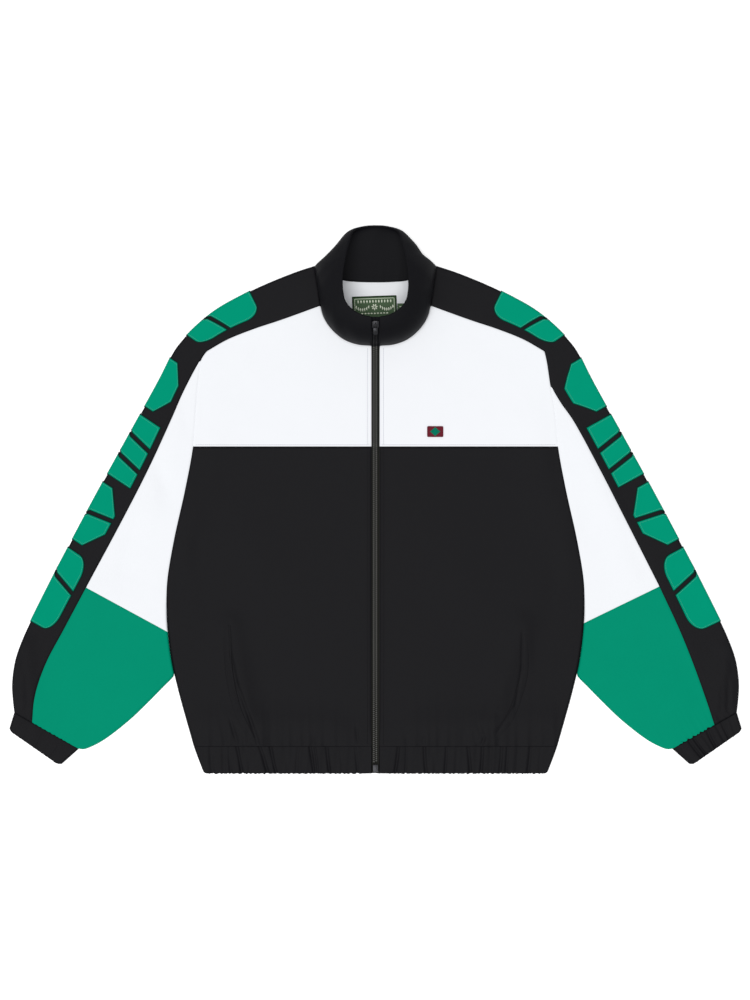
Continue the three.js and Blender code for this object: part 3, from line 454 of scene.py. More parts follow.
def tube(path, normals, radii, flat=1.0, sides=8, closed=False):
    """A tube round a path. radii may differ from point to point; flat squeezes it out of its plane."""
    path = np.asarray(path, float)
    if closed:
        forward = np.roll(path, -1, axis=0) - np.roll(path, 1, axis=0)
    else:
        forward = np.gradient(path, axis=0)
    forward /= np.maximum(np.linalg.norm(forward, axis=1, keepdims=True), 1e-9)
    across = np.cross(normals, forward)
    across /= np.maximum(np.linalg.norm(across, axis=1, keepdims=True), 1e-9)
    out = np.cross(forward, across)
    turn = 2 * math.pi * np.arange(sides)[None, :, None] / sides
    ring = across[:, None] * np.cos(turn) + out[:, None] * np.sin(turn) * flat
    points = path[:, None] + ring * np.broadcast_to(radii, len(path))[:, None, None]
    count = len(path)
    i, j = np.meshgrid(np.arange(count if closed else count - 1), np.arange(sides), indexing="ij")
    a, b = (i + 1) % count, (j + 1) % sides
    faces = np.stack([i * sides + j, i * sides + b, a * sides + b, a * sides + j], axis=-1).reshape(-1, 4)
    faces = [tuple(face) for face in faces]
    if not closed:
        faces += [tuple(range(sides - 1, -1, -1)), tuple(range((count - 1) * sides, count * sides))]
    return points.reshape(-1, 3), faces


SPINDLE = [(-1.0, 0.25), (-0.8, 0.75), (0.0, 1.0), (0.8, 0.75), (1.0, 0.25)]


def spindles(centres, directions, normals, length, radius, sides=6):
    """Small closed threads or teeth, pointed at both ends, all alike."""
    directions = directions / np.linalg.norm(directions, axis=1, keepdims=True)
    across = np.cross(normals, directions)
    across /= np.linalg.norm(across, axis=1, keepdims=True)
    out = np.cross(directions, across)
    turn = 2 * math.pi * np.arange(sides) / sides
    last = (len(SPINDLE) - 1) * sides
    faces = [tuple(face) for face in grid_faces(len(SPINDLE), sides, True)]
    faces += [tuple(range(sides)), tuple(range(last, last + sides))]
    parts = []
    for centre, forward, side, up in zip(centres, directions, across, out):
        ring = side * np.cos(turn)[:, None] + up * np.sin(turn)[:, None]
        points = np.vstack([centre + forward * s * length / 2 + ring * radius * r for s, r in SPINDLE])
        parts.append((points, faces))
    return parts


def running_stitch(path, normals, pitch, share=0.72, radius=0.28):
    """Stitches along a path, one to each pitch of its length."""
    steps = running(path)
    centres = np.arange(pitch / 2, steps[-1], pitch)

    def at(values, where):
        return np.stack([np.interp(where, steps, values[:, k]) for k in range(3)], axis=-1)

    directions = at(path, centres + 0.2) - at(path, centres - 0.2)
    return spindles(at(path, centres), directions, at(normals, centres), pitch * share, radius)


def slab(outline, low, high, rounding):
    """Vertices and faces of a plate with rounded edges. The outline runs counter-clockwise."""
    outline = np.asarray(outline, float)
    ahead = np.roll(outline, -1, axis=0) - outline
    ahead /= np.linalg.norm(ahead, axis=1, keepdims=True)
    normal = np.stack([-ahead[:, 1], ahead[:, 0]], axis=-1)
    inward = normal + np.roll(normal, 1, axis=0)
    inward /= np.maximum(np.sum(inward * normal, axis=1, keepdims=True), 0.4)
    levels = [(rounding, low), (rounding * 0.3, low + rounding * 0.3), (0, low + rounding),
              (0, high - rounding), (rounding * 0.3, high - rounding * 0.3), (rounding, high)]
    rings = [np.column_stack([outline + inward * inset, np.full(len(outline), z)]) for inset, z in levels]
    count = len(outline)
    faces = [tuple(face) for face in grid_faces(len(levels), count, True)]
    last = (len(levels) - 1) * count
    faces += [tuple(range(count - 1, -1, -1)), tuple(range(last, last + count))]
    return np.vstack(rings), faces


def rounded_rectangle(width, height, corner, parts=4):
    """A counter-clockwise outline round the origin."""
    points = []
    for k, (sx, sy) in enumerate(((1, 1), (-1, 1), (-1, -1), (1, -1))):
        for i in range(parts + 1):
            angle = math.pi / 2 * (k + i / parts)
            points.append((sx * (width / 2 - corner) + corner * math.cos(angle),
                           sy * (height / 2 - corner) + corner * math.sin(angle)))
    return points


def flip(grid, side):
    """Takes a grid of the left half to its side."""
    out = np.array(grid, float)
    out[..., 0] *= side
    return out


def settle(piece, node, body="jacket"):
    """Makes a piece stand for its node, if it has one, and ride on a body."""
    if node:
        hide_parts(node)
    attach(piece, body)
    return piece


def state_cut(grid, closed=False):
    """Works out the cross products of the squares of a piece's face, and keeps nothing."""
    face = np.concatenate([grid, grid[:, :1]], axis=1) if closed else grid
    cross = np.cross(face[1:, :-1] - face[:-1, :-1], face[:-1, 1:] - face[:-1, :-1])
    other = np.cross(face[1:, :-1] - face[1:, 1:], face[:-1, 1:] - face[1:, 1:])


class Wire:
    """An output of a shader node that can be used in plain arithmetic."""

    def __init__(self, paint, socket):
        self.paint, self.socket = paint, socket

    def _maths(self, operation, first, second):
        return self.paint.node("ShaderNodeMath", {"operation": operation}, {0: first, 1: second})

    def __add__(self, other):
        return self._maths("ADD", self, other)

    __radd__ = __add__

    def __sub__(self, other):
        return self._maths("SUBTRACT", self, other)

    def __rsub__(self, other):
        return self._maths("SUBTRACT", other, self)

    def __mul__(self, other):
        return self._maths("MULTIPLY", self, other)

    __rmul__ = __mul__

    def __truediv__(self, other):
        return self._maths("DIVIDE", self, other)

    def __gt__(self, other):
        return self._maths("GREATER_THAN", self, other)

    def __lt__(self, other):
        return self._maths("LESS_THAN", self, other)


class Paint:
    """A material and the nodes that colour it."""

    def __init__(self, name, roughness, metallic=0.0, sheen=0.0, specular=0.5):
        self.material = bpy.data.materials.new(name)
        self.material.use_nodes = True
        self.tree = self.material.node_tree
        self.surface = self.tree.nodes["Principled BSDF"]
        self.surface.inputs["Roughness"].default_value = roughness
        self.surface.inputs["Metallic"].default_value = metallic
        self.surface.inputs["Sheen Weight"].default_value = sheen
        self.surface.inputs["Specular IOR Level"].default_value = specular

    def node(self, kind, settings, sockets, out=0):
        """Adds a node: settings are set first, then the values or links of its sockets."""
        node = self.tree.nodes.new(kind)
        for key, value in settings.items():
            setattr(node, key, value)
        for key, value in sockets.items():
            self.feed(node.inputs[key], value)
        return Wire(self, node.outputs[out])

    def feed(self, socket, value):
        if isinstance(value, Wire):
            self.tree.links.new(value.socket, socket)
        else:
            socket.default_value = value

    def place(self):
        """Places on the piece, in metres."""
        return self.node("ShaderNodeTexCoord", {}, {}, "Object")

    def noise(self, vector, scale, detail=2.0, roughness=0.5):
        sockets = {"Vector": vector, "Scale": scale, "Detail": detail, "Roughness": roughness}
        return self.node("ShaderNodeTexNoise", {}, sockets, 0)

    def bands(self, vector, pitch, direction):
        """Stripes 0 to 1 with a pitch in millimetres: a scale of 1 gives 20 radians to a metre."""
        settings = {"wave_type": "BANDS", "bands_direction": direction}
        scale = 2 * math.pi / (20 * pitch * MM)
        return self.node("ShaderNodeTexWave", settings, {"Vector": vector, "Scale": scale}, 1)

    def mix(self, share, first, second):
        """A colour between two, each a colour or a wire."""
        return self.node("ShaderNodeMix", {"data_type": "RGBA"}, {0: share, 6: first, 7: second}, 2)

    def colour(self, value, collar=None):
        """Colours the surface, with another colour on the collar where one is given."""
        if collar:
            value = self.mix(self.on_collar(), value, tone(collar))
        self.feed(self.surface.inputs["Base Color"], value)

    def on_collar(self):
        """1 where the piece lies on the collar and 0 on the body."""
        height = self.node("ShaderNodeSeparateXYZ", {}, {0: self.place()}, 1)
        return height > (FRONT_NECK - 1) * MM

    def bump(self, height, strength, distance):
        sockets = {"Strength": strength, "Distance": distance, "Height": height}
        self.feed(self.surface.inputs["Normal"], self.node("ShaderNodeBump", {}, sockets))


def tone(colour, factor=1.0):
    """A colour made lighter or darker."""
    return (*[min(1.0, c * factor) for c in colour[:3]], 1.0)


def woven(name, colour, pitch=0.55, roughness=0.62, specular=0.08, crinkle=0.5, mottle=0.05,
          collar=None):
    """Plain-woven cloth: crossed threads, a soft crinkle and slight unevenness of dye. It may have
    another colour on the collar."""
    paint = Paint(name, roughness, specular=specular)
    place = paint.place()
    soft = paint.noise(place, 38, 3.0, 0.55)
    fine = paint.noise(place, 700, 2.0, 0.6)
    share = soft * 0.6 + fine * 0.4
    paint.colour(paint.mix(share, tone(colour, 1 + mottle), tone(colour, 1 - mottle)), collar)
    threads = paint.bands(place, pitch, "X") * paint.bands(place, pitch, "Y")
    paint.bump(threads * 0.12 + fine * 0.12 + soft * crinkle, 0.35, 0.0012)
    return paint.material


def thread(name, colour, pitch=0.45, direction="DIAGONAL", roughness=0.55, specular=0.06, collar=None):
    """Stitched or twisted thread: fine slanted ribs. It may have another colour on the collar."""
    paint = Paint(name, roughness, specular=specular)
    ribs = paint.bands(paint.place(), pitch, direction)
    paint.colour(paint.mix(ribs, tone(colour, 0.8), tone(colour, 1.1)), collar)
    paint.bump(ribs, 0.4, 0.0002)
    return paint.material


def plain_metal(name, colour):
    """Dark painted metal, a little worn."""
    paint = Paint(name, 0.38, metallic=0.85)
    worn = paint.noise(paint.place(), 260, 3.0)
    paint.colour(paint.mix(worn, tone(colour, 0.85), tone(colour, 1.3)))
    paint.bump(worn, 0.15, 0.0002)
    return paint.material


FINISHES = {}


def finish(name):
    """The jacket's materials, each made once from the panel's colours."""
    if name not in FINISHES:
        c = bpy.context.scene.jacket_colours
        makers = {
            "black": lambda: woven("black shell cloth", c.black, roughness=0.56, specular=0.1),
            # The collar is the black cloth made lighter, a painted highlight.
            "collar": lambda: woven("collar cloth with painted highlight", c.collar, roughness=0.62, crinkle=0.6),
            "white": lambda: woven("white shell cloth", c.white, mottle=0.012),
            "green": lambda: woven("green shell cloth", c.green, specular=0.02, mottle=0.04),
            "back_white": lambda: woven("white back cloth", c.white, mottle=0.012, crinkle=0.8),
            "applique": lambda: woven("applique felt", c.applique, 0.8, 0.8, specular=0.02),
            "satin": lambda: thread("satin edge thread", c.outline),
            "edge_thread": lambda: thread("applique stitching", c.edge_thread),
            "shell_thread": lambda: thread("black stitching", c.black),
            "pale_thread": lambda: thread("pale stitching", c.pale_thread),
            "label": lambda: woven("woven label", c.label, 0.4, 0.7, mottle=0.1),
            "label_border": lambda: woven("label border", c.label_border, 0.4, 0.7),
            "label_mark": lambda: woven("label marks", c.label_mark, 0.4, 0.7, mottle=0.1),
            # On the collar the tape takes the collar's colour, which carries a painted highlight.
            "tape": lambda: woven("zip tape", c.tape, 0.7, 0.8, mottle=0.1, collar=c.collar),
            "coil": lambda: thread("zip coil", c.coil, 0.9, roughness=0.4, specular=0.3, collar=c.black),
            "metal": lambda: plain_metal("dark metal", c.metal),
            "patch": lambda: thread("patch ground", c.patch, pitch=0.5),
            "patch_stripe": lambda: thread("patch stripe", c.patch_stripe, pitch=0.5),
        }
        FINISHES[name] = makers[name]()
    return FINISHES[name]


def colour_property(name, default, about):
    """A colour that the panel shows."""
    return bpy.props.FloatVectorProperty(
        name=name, description=about, subtype="COLOR", size=3, min=0, max=1, default=default
    )


class JacketColours(bpy.types.PropertyGroup):
    """Cloth and trim colours, linear."""

    black: colour_property("Black cloth", (0.0037, 0.0035, 0.0047), "Lower body, bands and casings")
    # The collar's colour is the black cloth made lighter: a painted highlight that stands in for light on
    # the collar's steep faces.
    collar: colour_property("Collar cloth", (0.0045, 0.0045, 0.0058), "Stand collar")
    white: colour_property("White cloth", (0.785, 0.797, 0.82), "Upper body and upper sleeves")
    green: colour_property("Green cloth", (0.0, 0.24, 0.139), "Lower sleeves")
    applique: colour_property("Applique", (0.0, 0.26, 0.152), "Motifs on the bands")
    outline: colour_property("Applique edge", (0.001, 0.028, 0.019), "Satin stitch round the motifs")
    edge_thread: colour_property("Edge thread", (0.1, 0.48, 0.34), "Running stitch inside the motifs")
    pale_thread: colour_property("Pale thread", (0.4, 0.4, 0.47), "Topstitching on the white cloth")
    label: colour_property("Label ground", (0.075, 0.125, 0.066), "Neck label")
    label_border: colour_property("Label border", (0.015, 0.032, 0.012), "Border of the neck label")
    label_mark: colour_property("Label marks", (0.78, 0.84, 0.68), "Woven marks of the neck label")
    tape: colour_property("Zip tape", (0.0115, 0.0115, 0.01), "Zip tapes")
    coil: colour_property("Zip coil", (0.17, 0.17, 0.16), "Zip coil")
    metal: colour_property("Slider", (0.03, 0.03, 0.033), "Slider, pull and stop")
    patch: colour_property("Patch", (0.13, 0.012, 0.022), "Chest patch")
    patch_stripe: colour_property("Patch stripe", (0.0, 0.2, 0.12), "Second colour of the chest patch")


class JacketSizes(bpy.types.PropertyGroup):
    """Sizes of what is sewn or moulded."""

    grid_step: bpy.props.FloatProperty(
        name="Grid step", description="Size of the panels' mesh squares", default=0.0036, unit="LENGTH"
    )
    stitch_pitch: bpy.props.FloatProperty(
        name="Stitch pitch", description="From one topstitch to the next", default=0.0029, unit="LENGTH"
    )
    coil_pitch: bpy.props.FloatProperty(
        name="Coil pitch", description="From one tooth to the next", default=0.0027, unit="LENGTH"
    )


def size(name):
    """A size of the panel, in millimetres."""
    return getattr(bpy.context.scene.jacket_sizes, name) / MM


def body_line(name="right"):
    """One half's outer edge of the body, from the shoulder down to the hem."""
    return catmull([*ARMHOLE_TOP[name], *BODY_EDGE])


def below_pit(y):
    """How far the top cloth's outer edge turns down, from 0 at a seam with top cloth to 1 at a fold."""
    return smoothstep(-y, -(PIT + PIT_BLEND[0]), -(PIT - PIT_BLEND[1]))


def top_panel(plan, side, sharp=True):
    """Lifts a plan grid of the left half to the top cloth, rolled down a little at its seams."""
    x, y = plan[..., 0] * side, plan[..., 1]
    distances = edge_distances(plan)
    z = top_height(x, y, sharp)
    near_hem = smoothstep(-y, -SEAM_ROLL["from"], -SEAM_ROLL["to"])
    depth = SEAM_ROLL["depth"] * (1 - SEAM_ROLL["calmed"] * near_hem)
    for away in distances.values():
        z = z - depth * np.exp(-((away / SEAM_ROLL["reach"]) ** 2))
    inside = np.clip(distances["high"] / FOLD_REACH, 0, 1)
    drop = 1 - np.sqrt(np.clip(1 - (1 - inside) ** 2, 0, 1))
    z = z - below_pit(plan[:, -1:, 1]) * (z - FOLD_FOOT) * drop
    return np.dstack([x, y, z])


def under_panel(plan, side, folded=()):
    """Outer and inner faces of a back panel, flat on the surface, its folded edges turned up."""
    x, y = plan[..., 0] * side, plan[..., 1]
    distances = edge_distances(plan)
    lift = np.zeros_like(x)
    for key, share in folded:
        inside = np.clip(distances[key] / TURN_UP, 0, 1)
        lift = np.maximum(lift, share * (1 - np.sqrt(np.clip(1 - (1 - inside) ** 2, 0, 1))))
    wave = BACK_WAVE * np.sin(x / 17 + y / 29) * np.sin(y / 23)
    outer = np.dstack([x, y, lift])
    inner = np.dstack([x, y, np.maximum(CLOTH - BACK_WAVE + wave, lift + 0.5)])
    return outer, inner


def body_sides(line):
    """The outer sides of the body's lower and upper panels, on a line down the body."""
    heights = {"lower": (HEM_SEAM, CHEST_SEAM), "upper": (CHEST_SEAM, SHOULDER_CORNER[1])}
    return {part: at_heights(line, np.linspace(*ends, SIDE_POINTS[part]))
            for part, ends in heights.items()}


def body_plans(name):
    """Plan grids of one side's lower and upper fronts."""
    side, step = body_sides(body_line(name)), size("grid_step")
    hem = np.array([(ZIP_GAP, HEM_SEAM), side["lower"][0]])
    chest = np.array([(ZIP_GAP, CHEST_SEAM), side["lower"][-1]])
    head = np.vstack([catmull(COLLAR_SEAM), catmull(SHOULDER_SEAM)[1:]])
    zip_side = {
        "lower": np.array([(ZIP_GAP, HEM_SEAM), (ZIP_GAP, CHEST_SEAM)]),
        "upper": np.array([(ZIP_GAP, CHEST_SEAM), (ZIP_GAP, FRONT_NECK)]),
    }
    plans = {}
    for part, foot, top, fineness in (("lower", hem, chest, 0.45), ("upper", chest, head, 0.8)):
        us, vs = spread(FRONT_SPAN["width"], step * fineness), spread(FRONT_SPAN[part], step)
        plans[part] = shrink(coons(foot, top, zip_side[part], side[part], us, vs))
    return plans


def sleeve_plans(name):
    """Plan grids of one sleeve's upper and lower panels, columns from the band to the underarm."""
    seam, line, step = SLEEVE_SEAM[name], body_line(name), size("grid_step")
    foot = seam["upper"][-1][1]
    points = SLEEVE_POINTS
    seam_side = at_heights(catmull(seam["upper"]), np.linspace(foot, seam["tip"], points["side"]))
    body_side = at_heights(line, np.linspace(seam["colours_meet"], seam["tip"], points["side"]))
    beside = at_heights(line, np.linspace(seam["colours_meet"], UNDERARM, points["underarm"]))
    underarm = np.vstack([beside, catmull([tuple(beside[-1]), *UNDERARM_EDGE[1:]])[1:]])[::-1]
    lower_seam = catmull(seam["lower"])[::-1]
    foot_line = np.linspace(lower_seam[0], underarm[0], points["foot"])
    run = (foot_line[-1] - foot_line[0]) / np.linalg.norm(foot_line[-1] - foot_line[0])
    place = running(foot_line)
    edge = CUFF_SCALLOP
    scallop = np.clip(uneven_wave(place, edge["pitch"], edge["seed"] + seam["tip"]) + edge["base"], 0, 1)
    outer, inner = (place[-1] - reach for reach in edge["underarm"])
    calm = smoothstep(place, 0, edge["band"]) * (1 - smoothstep(place, outer, inner))
    foot_line = foot_line + np.outer(seam["scallop"] * scallop * calm, (run[1], -run[0]))
    upper = coons([seam_side[0], body_side[0]], [seam_side[-1], body_side[-1]], seam_side, body_side,
                  *(spread(length, step) for length in SLEEVE_SPAN["upper"]))
    across, up = SLEEVE_SPAN["lower"]
    lower = coons(foot_line, [lower_seam[-1], underarm[-1]], lower_seam, underarm,
                  spread(across, step * 0.55), spread(up, step))
    return {"upper": shrink(upper), "lower": shrink(lower)}


class Surface:
    """A cloth face that can be asked for points by distance along it and place across it."""

    def __init__(self, grid, distances, places, probe):
        self.grid, self.distances, self.places, self.probe = grid, distances, places, probe
        self.normals = normals_of(grid, probe=probe)

    def at(self, distance, place, rise=0.0):
        """Points, moved out by rise, and normals."""
        distance, place = np.broadcast_arrays(np.asarray(distance, float), np.asarray(place, float))
        i = np.interp(distance, self.distances, np.arange(len(self.distances)))
        j = np.interp(place, self.places, np.arange(len(self.places)))
        a = np.clip(i.astype(int), 0, self.grid.shape[0] - 2)
        b = np.clip(j.astype(int), 0, self.grid.shape[1] - 2)
        u, v = (i - a)[..., None], (j - b)[..., None]

        def between(values):
            near = values[a, b] * (1 - v) + values[a, b + 1] * v
            far = values[a + 1, b] * (1 - v) + values[a + 1, b + 1] * v
            return near * (1 - u) + far * u

        normal = between(self.normals)
        normal = normal / np.linalg.norm(normal, axis=-1, keepdims=True)
        return between(self.grid) + normal * rise, normal


BAND_STATIONS = {"shoulder": 60, "armhole": 104, "lower": 66}
BAND_POINTS = {"body": 20, "sleeve": 160}  # along the armhole seam, on the body and below it
BAND_TOP = np.r_[0, 0.007, 0.02, 0.04, np.linspace(0.07, 1, 14)]
BAND_FOLD = 10
BAND_UNDER = 6


def band_surface(name, side):
    """The band's outer face. Its places run from 0 at the front seam to 1 at the crest of the fold,
    2 under it and 3 at the back seam, and its distances from the collar along the fold."""
    seam = SLEEVE_SEAM[name]
    foot = seam["upper"][-1][1]
    armhole = np.vstack([
        at_heights(body_line(name), np.linspace(SHOULDER_CORNER[1], seam["tip"], BAND_POINTS["body"])),
        at_heights(catmull(seam["upper"]), np.linspace(seam["tip"], foot, BAND_POINTS["sleeve"]))[1:],
    ])
    shares = {key: np.linspace(0, 1, count) for key, count in BAND_STATIONS.items()}

    def through(shoulder, upper, lower):
        return np.vstack([along(shoulder, shares["shoulder"]), along(upper, shares["armhole"])[1:],
                          along(lower, shares["lower"])[1:]])

    front = through(catmull(SHOULDER_SEAM), armhole, catmull(seam["lower"]))
    fold = through(catmull(SHOULDER_LINE), catmull(SLEEVE_LINE_UPPER), catmull(SLEEVE_LINE_LOWER))
    back = through(catmull(BAND_BACK_EDGE), armhole, catmull(seam["lower"]))
    out = (fold - front) / np.linalg.norm(fold - front, axis=1, keepdims=True)
    start = front + out * SEAM / 2
    lie = quiet_height(fold[:, 0] * side, fold[:, 1])
    radius = (np.minimum(lie, 2 * (LIE + 1)) / 2)[:, None]
    crest = fold - out * radius
    top = start[:, None] + (crest - start)[:, None] * BAND_TOP[None, :, None]
    inward = np.linalg.norm(top - start[:, None], axis=2)
    blend = smoothstep(BAND_TOP[None], 0.75, 1.0)
    z = top_height(top[..., 0] * side, top[..., 1]) * (1 - blend) + 2 * radius * blend
    z = z - SEAM_ROLL["depth"] * np.exp(-((inward / SEAM_ROLL["reach"]) ** 2))
    columns = [np.dstack([top, z])]
    for k in range(1, BAND_FOLD + 1):
        angle = math.pi * (0.5 - k / BAND_FOLD)
        at = crest + out * radius * math.cos(angle)
        columns.append(np.hstack([at, radius * (1 + math.sin(angle))])[:, None])
    end = back + (crest - back) / np.linalg.norm(crest - back, axis=1, keepdims=True) * SEAM / 2
    for k in range(1, BAND_UNDER + 1):
        at = crest + (end - crest) * k / BAND_UNDER
        columns.append(np.hstack([at, np.zeros((len(at), 1))])[:, None])
    places = np.r_[BAND_TOP, 1 + np.arange(1, BAND_FOLD + 1) / BAND_FOLD,
                   2 + np.arange(1, BAND_UNDER + 1) / BAND_UNDER]
    grid = flip(np.concatenate(columns, axis=1), side)
    return Surface(grid, running(fold), places, probe=(0.5, 0.15))


# Motifs on the band: start and length along the fold from the collar, the share of the band's top that
# stays bare, the shape of both ends, the bars that each is cut into, and how far their gaps lean.
MOTIFS = [
    {"start": 94, "length": 104, "cut": 0.3, "ends": "round", "bars": [(0, 0.6), (0.65, 1)],
     "lean": 0.2},
    {"start": 236, "length": 74, "cut": 0.27, "ends": "slant", "bars": [(0, 1)], "lean": 0},
    {"start": 322, "length": 92, "cut": 0.22, "ends": "square",
     "bars": [(0, 0.3), (0.36, 0.64), (0.7, 1)], "lean": -0.12},
    {"start": 426, "length": 88, "cut": 0.24, "ends": "slant", "bars": [(0, 0.47), (0.53, 1)],
     "lean": 0.14},
    {"start": 526, "length": 112, "cut": 0.28, "ends": "round", "bars": [(0, 0.34), (0.39, 1)],
     "lean": -0.16},
]
MOTIF_END = 1.6  # place on the band where each motif ends, just past the crest of the fold
MOTIF_GRID = {"along": 1.7, "across": 25}  # length of a mesh square, and squares across
END_SHARE = {"round": 0.24, "slant": 0.34, "square": 0.0}
END_DEPTH = {"round": 0.5, "slant": 0.62}
APPLIQUE_CLOTH = 0.6
SATIN = {"radius": 0.75, "rib": 0.1, "flat": 0.7, "step": 0.45}
EDGE_ROW = {"inset": 2.4, "across": 0.045, "pitch": 2.2, "radius": 0.22}


def end_inset(ends, share):
    """How much further from the front edge a motif stays at shares of its length."""
    reach = END_SHARE[ends]
    if not reach:
        return np.zeros_like(share)
    t = np.clip(1 - np.minimum(share, 1 - share) / reach, 0, 1)
    return END_DEPTH[ends] * (t if ends == "slant" else 1 - np.sqrt(1 - t * t))


def motif(name, surface, row):
    """The applique motif's cloth, its satin edge and its running stitch."""
    shares = np.linspace(0, 1, 200)
    first = row["cut"] + (1 - row["cut"]) * end_inset(row["ends"], shares)

    def places(bar, s, v):
        """Distance and place on the band for shares along and across a bar."""
        lean = row["lean"] * (v - 0.5)
        start, end = (edge + lean * (0 < edge < 1) for edge in bar)
        u = start + (end - start) * s
        low = np.interp(u, shares, first)
        return row["start"] + u * row["length"], low + (MOTIF_END - low) * v

    def loop(bar, inset_s, inset_v, spacing):
        """Evenly spaced places round a bar, inside its edge."""
        corners = [(inset_s, inset_v), (1 - inset_s, inset_v), (1 - inset_s, 1 - inset_v),
                   (inset_s, 1 - inset_v), (inset_s, inset_v)]
        coarse = along(corners, np.linspace(0, 1, 500))
        path, _ = surface.at(*places(bar, *coarse.T))
        steps = running(path)
        where = np.linspace(0, steps[-1], int(steps[-1] / spacing), endpoint=False)
        return places(bar, *(np.interp(where, steps, coarse[:, k]) for k in range(2)))

    cloths, satin, stitches = [], [], []
    for bar in row["bars"]:
        length = (bar[1] - bar[0]) * row["length"]
        s, v = np.meshgrid(np.linspace(0, 1, int(length / MOTIF_GRID["along"])),
                           np.linspace(0, 1, MOTIF_GRID["across"]), indexing="ij")
        outer, _ = surface.at(*places(bar, s, v), SEAM + APPLIQUE_CLOTH)
        inner, _ = surface.at(*places(bar, s, v), SEAM)
        cloths.append(shell(outer, inner))
        path, out = surface.at(*loop(bar, 0, 0, SATIN["step"]), SEAM + APPLIQUE_CLOTH * 0.75)
        radii = np.full(len(path), SATIN["radius"])
        radii[::2] += SATIN["rib"]
        satin.append(tube(path, out, radii, flat=SATIN["flat"], sides=8, closed=True))
        path, out = surface.at(*loop(bar, EDGE_ROW["inset"] / length, EDGE_ROW["across"], 1.0),
                               SEAM + APPLIQUE_CLOTH + 0.1)
        stitches += running_stitch(np.vstack([path, path[:1]]), np.vstack([out, out[:1]]),
                                   EDGE_ROW["pitch"], radius=EDGE_ROW["radius"])
    return (joined(f"motif {name}", cloths, finish("applique")),
            joined(f"satin edge {name}", satin, finish("satin")),
            joined(f"running stitch {name}", stitches, finish("edge_thread")))


# Collar sections of one half from the centre front round to the centre back: seam, crown and top edge.
# A seam with no height of its own stands on the top cloth.
COLLAR_SECTIONS = [
    ((ZIP_GAP, 207), (ZIP_GAP, 208, 50), (ZIP_GAP, 242.5, 58)),
    ((24, 208.6), (24, 210, 50), (19, 245.5, 58)),
    ((43, 215.6), (44, 219, 49), (33, 254, 56)),
    ((60, 230.2), (63, 236, 47), (41.5, 265, 54)),
    ((69.3, 245), (74, 252, 45), (44.6, 279, 51.5)),
    ((73.8, 263), (80, 274, 42), (45, 295, 48)),
    ((78.4, 292), (84, 299, 36), (43.2, 312, 43.5)),
    ((81.2, 314.4, 6.5), (76.5, 322, 24), (40, 330, 38)),
    ((62, 302.8, 1), (68, 348, 14), (36, 346, 31)),
    ((42, 295.8, 1), (52, 366.5, 4), (31, 360.5, 23)),
    ((20, 293.8, 1), (28, 369, 0.3), (18, 367, 15)),
    ((0, 293.4, 1), (0, 364, 0.2), (0, 368.8, 12)),
]

# Section of the turned-in edges under its seam: distance out from it, and height over the collar's foot.
NECK_ALLOWANCE = np.array([(-2.6, -0.4), (-1.2, -0.4), (-0.2, -0.55), (0.7, -2.5), (3.4, -2.7)])
NECK_SECTIONS = 8  # the collar's sections from the zip to the shoulder fold
NECK_SHARE = 0.96  # how much of that way the turned-in edges run
NECK_CLOTH = 0.5
COLLAR_PUCKER = {"rise": 0.35, "pitch": 13, "fade": 0.16}
COLLAR_SLACK = {"rise": 0.8, "pitch": 46, "lean": 30}
COLLAR_CALM = (4, 20)  # how far from its front ends the collar's cloth starts to pucker
COLLAR_PROBE = (0.05, 0.1)  # a place on the collar's face that looks up


def collar_point(x, y, z=None):
    """A point of the collar. One with no height of its own stands on the top cloth."""
    return x, y, float(quiet_height(x, y)) + 2 * SEAM if z is None else z


def bowed(seam, crown, top, t):
    """Points from seam to top edge over a crown, at shares of the way."""
    return (1 - t) ** 2 * seam + 2 * t * (1 - t) * crown + t * t * top


def collar_face():
    """The collar's outer face: a row for each station round the neck, from seam to top edge."""
    lines = []
    for key in range(3):
        half = [collar_point(*section[key]) for section in COLLAR_SECTIONS]
        lines.append(catmull(half + [(-x, y, z) for x, y, z in half[-2::-1]], 9))
    share = np.r_[0, 0.02, 0.045, np.linspace(0.08, 0.95, 20), 0.98, 1]
    face = bowed(*(line[:, None] for line in lines), share[None, :, None])
    n = normals_of(face, probe=COLLAR_PROBE)
    around = running(lines[0])[:, None]
    low, high = COLLAR_CALM
    calm = smoothstep(around, low, high) * (1 - smoothstep(around, around[-1] - high, around[-1] - low))
    fade = np.exp(-share / COLLAR_PUCKER["fade"])[None]
    pucker = COLLAR_PUCKER["rise"] * uneven_wave(around, COLLAR_PUCKER["pitch"], 0.4) * fade
    leaning = around + COLLAR_SLACK["lean"] * share[None]
    slack = COLLAR_SLACK["rise"] * uneven_wave(leaning, COLLAR_SLACK["pitch"], 1.7)
    slack = slack * np.sin(np.pi * share)[None]
    return face + n * (calm * (pucker + slack))[..., None]


# A cuff lies as a flattened loop: its width and length, its height, and its points on top and under.
CUFF_LOOP = {"width": 88, "length": 30, "top": 6.6, "over": 120, "under": 40}
CUFF_CORNER = {"reach": 8, "share": 0.1}
CUFF_SCALLOPS = {"pitch": 7.3, "share": 0.018}
HEM_HALF = {"seam": 245.2, "bottom": 233}
HEM_TOP = 6.6
HEM_UNDER = 0.05  # how far the band's upper edge lies below the seam's line
HEM_CORNER = 4.5
HEM_SCALLOPS = {"rise": 0.75, "base": -0.7, "pitches": (6.7, 3.9)}
HEM_CALM = {"zip": (10, 24), "side": 10}
CASING_SWELL = 0.8  # how far a casing stands above its two edges
ROUND_FOLD = np.pi * (0.5 - np.arange(1, 9) / 9)
CASING_ROWS = np.r_[0, 0.02, 0.05, np.linspace(0.1, 0.9, 12), 0.95, 0.98, 1]

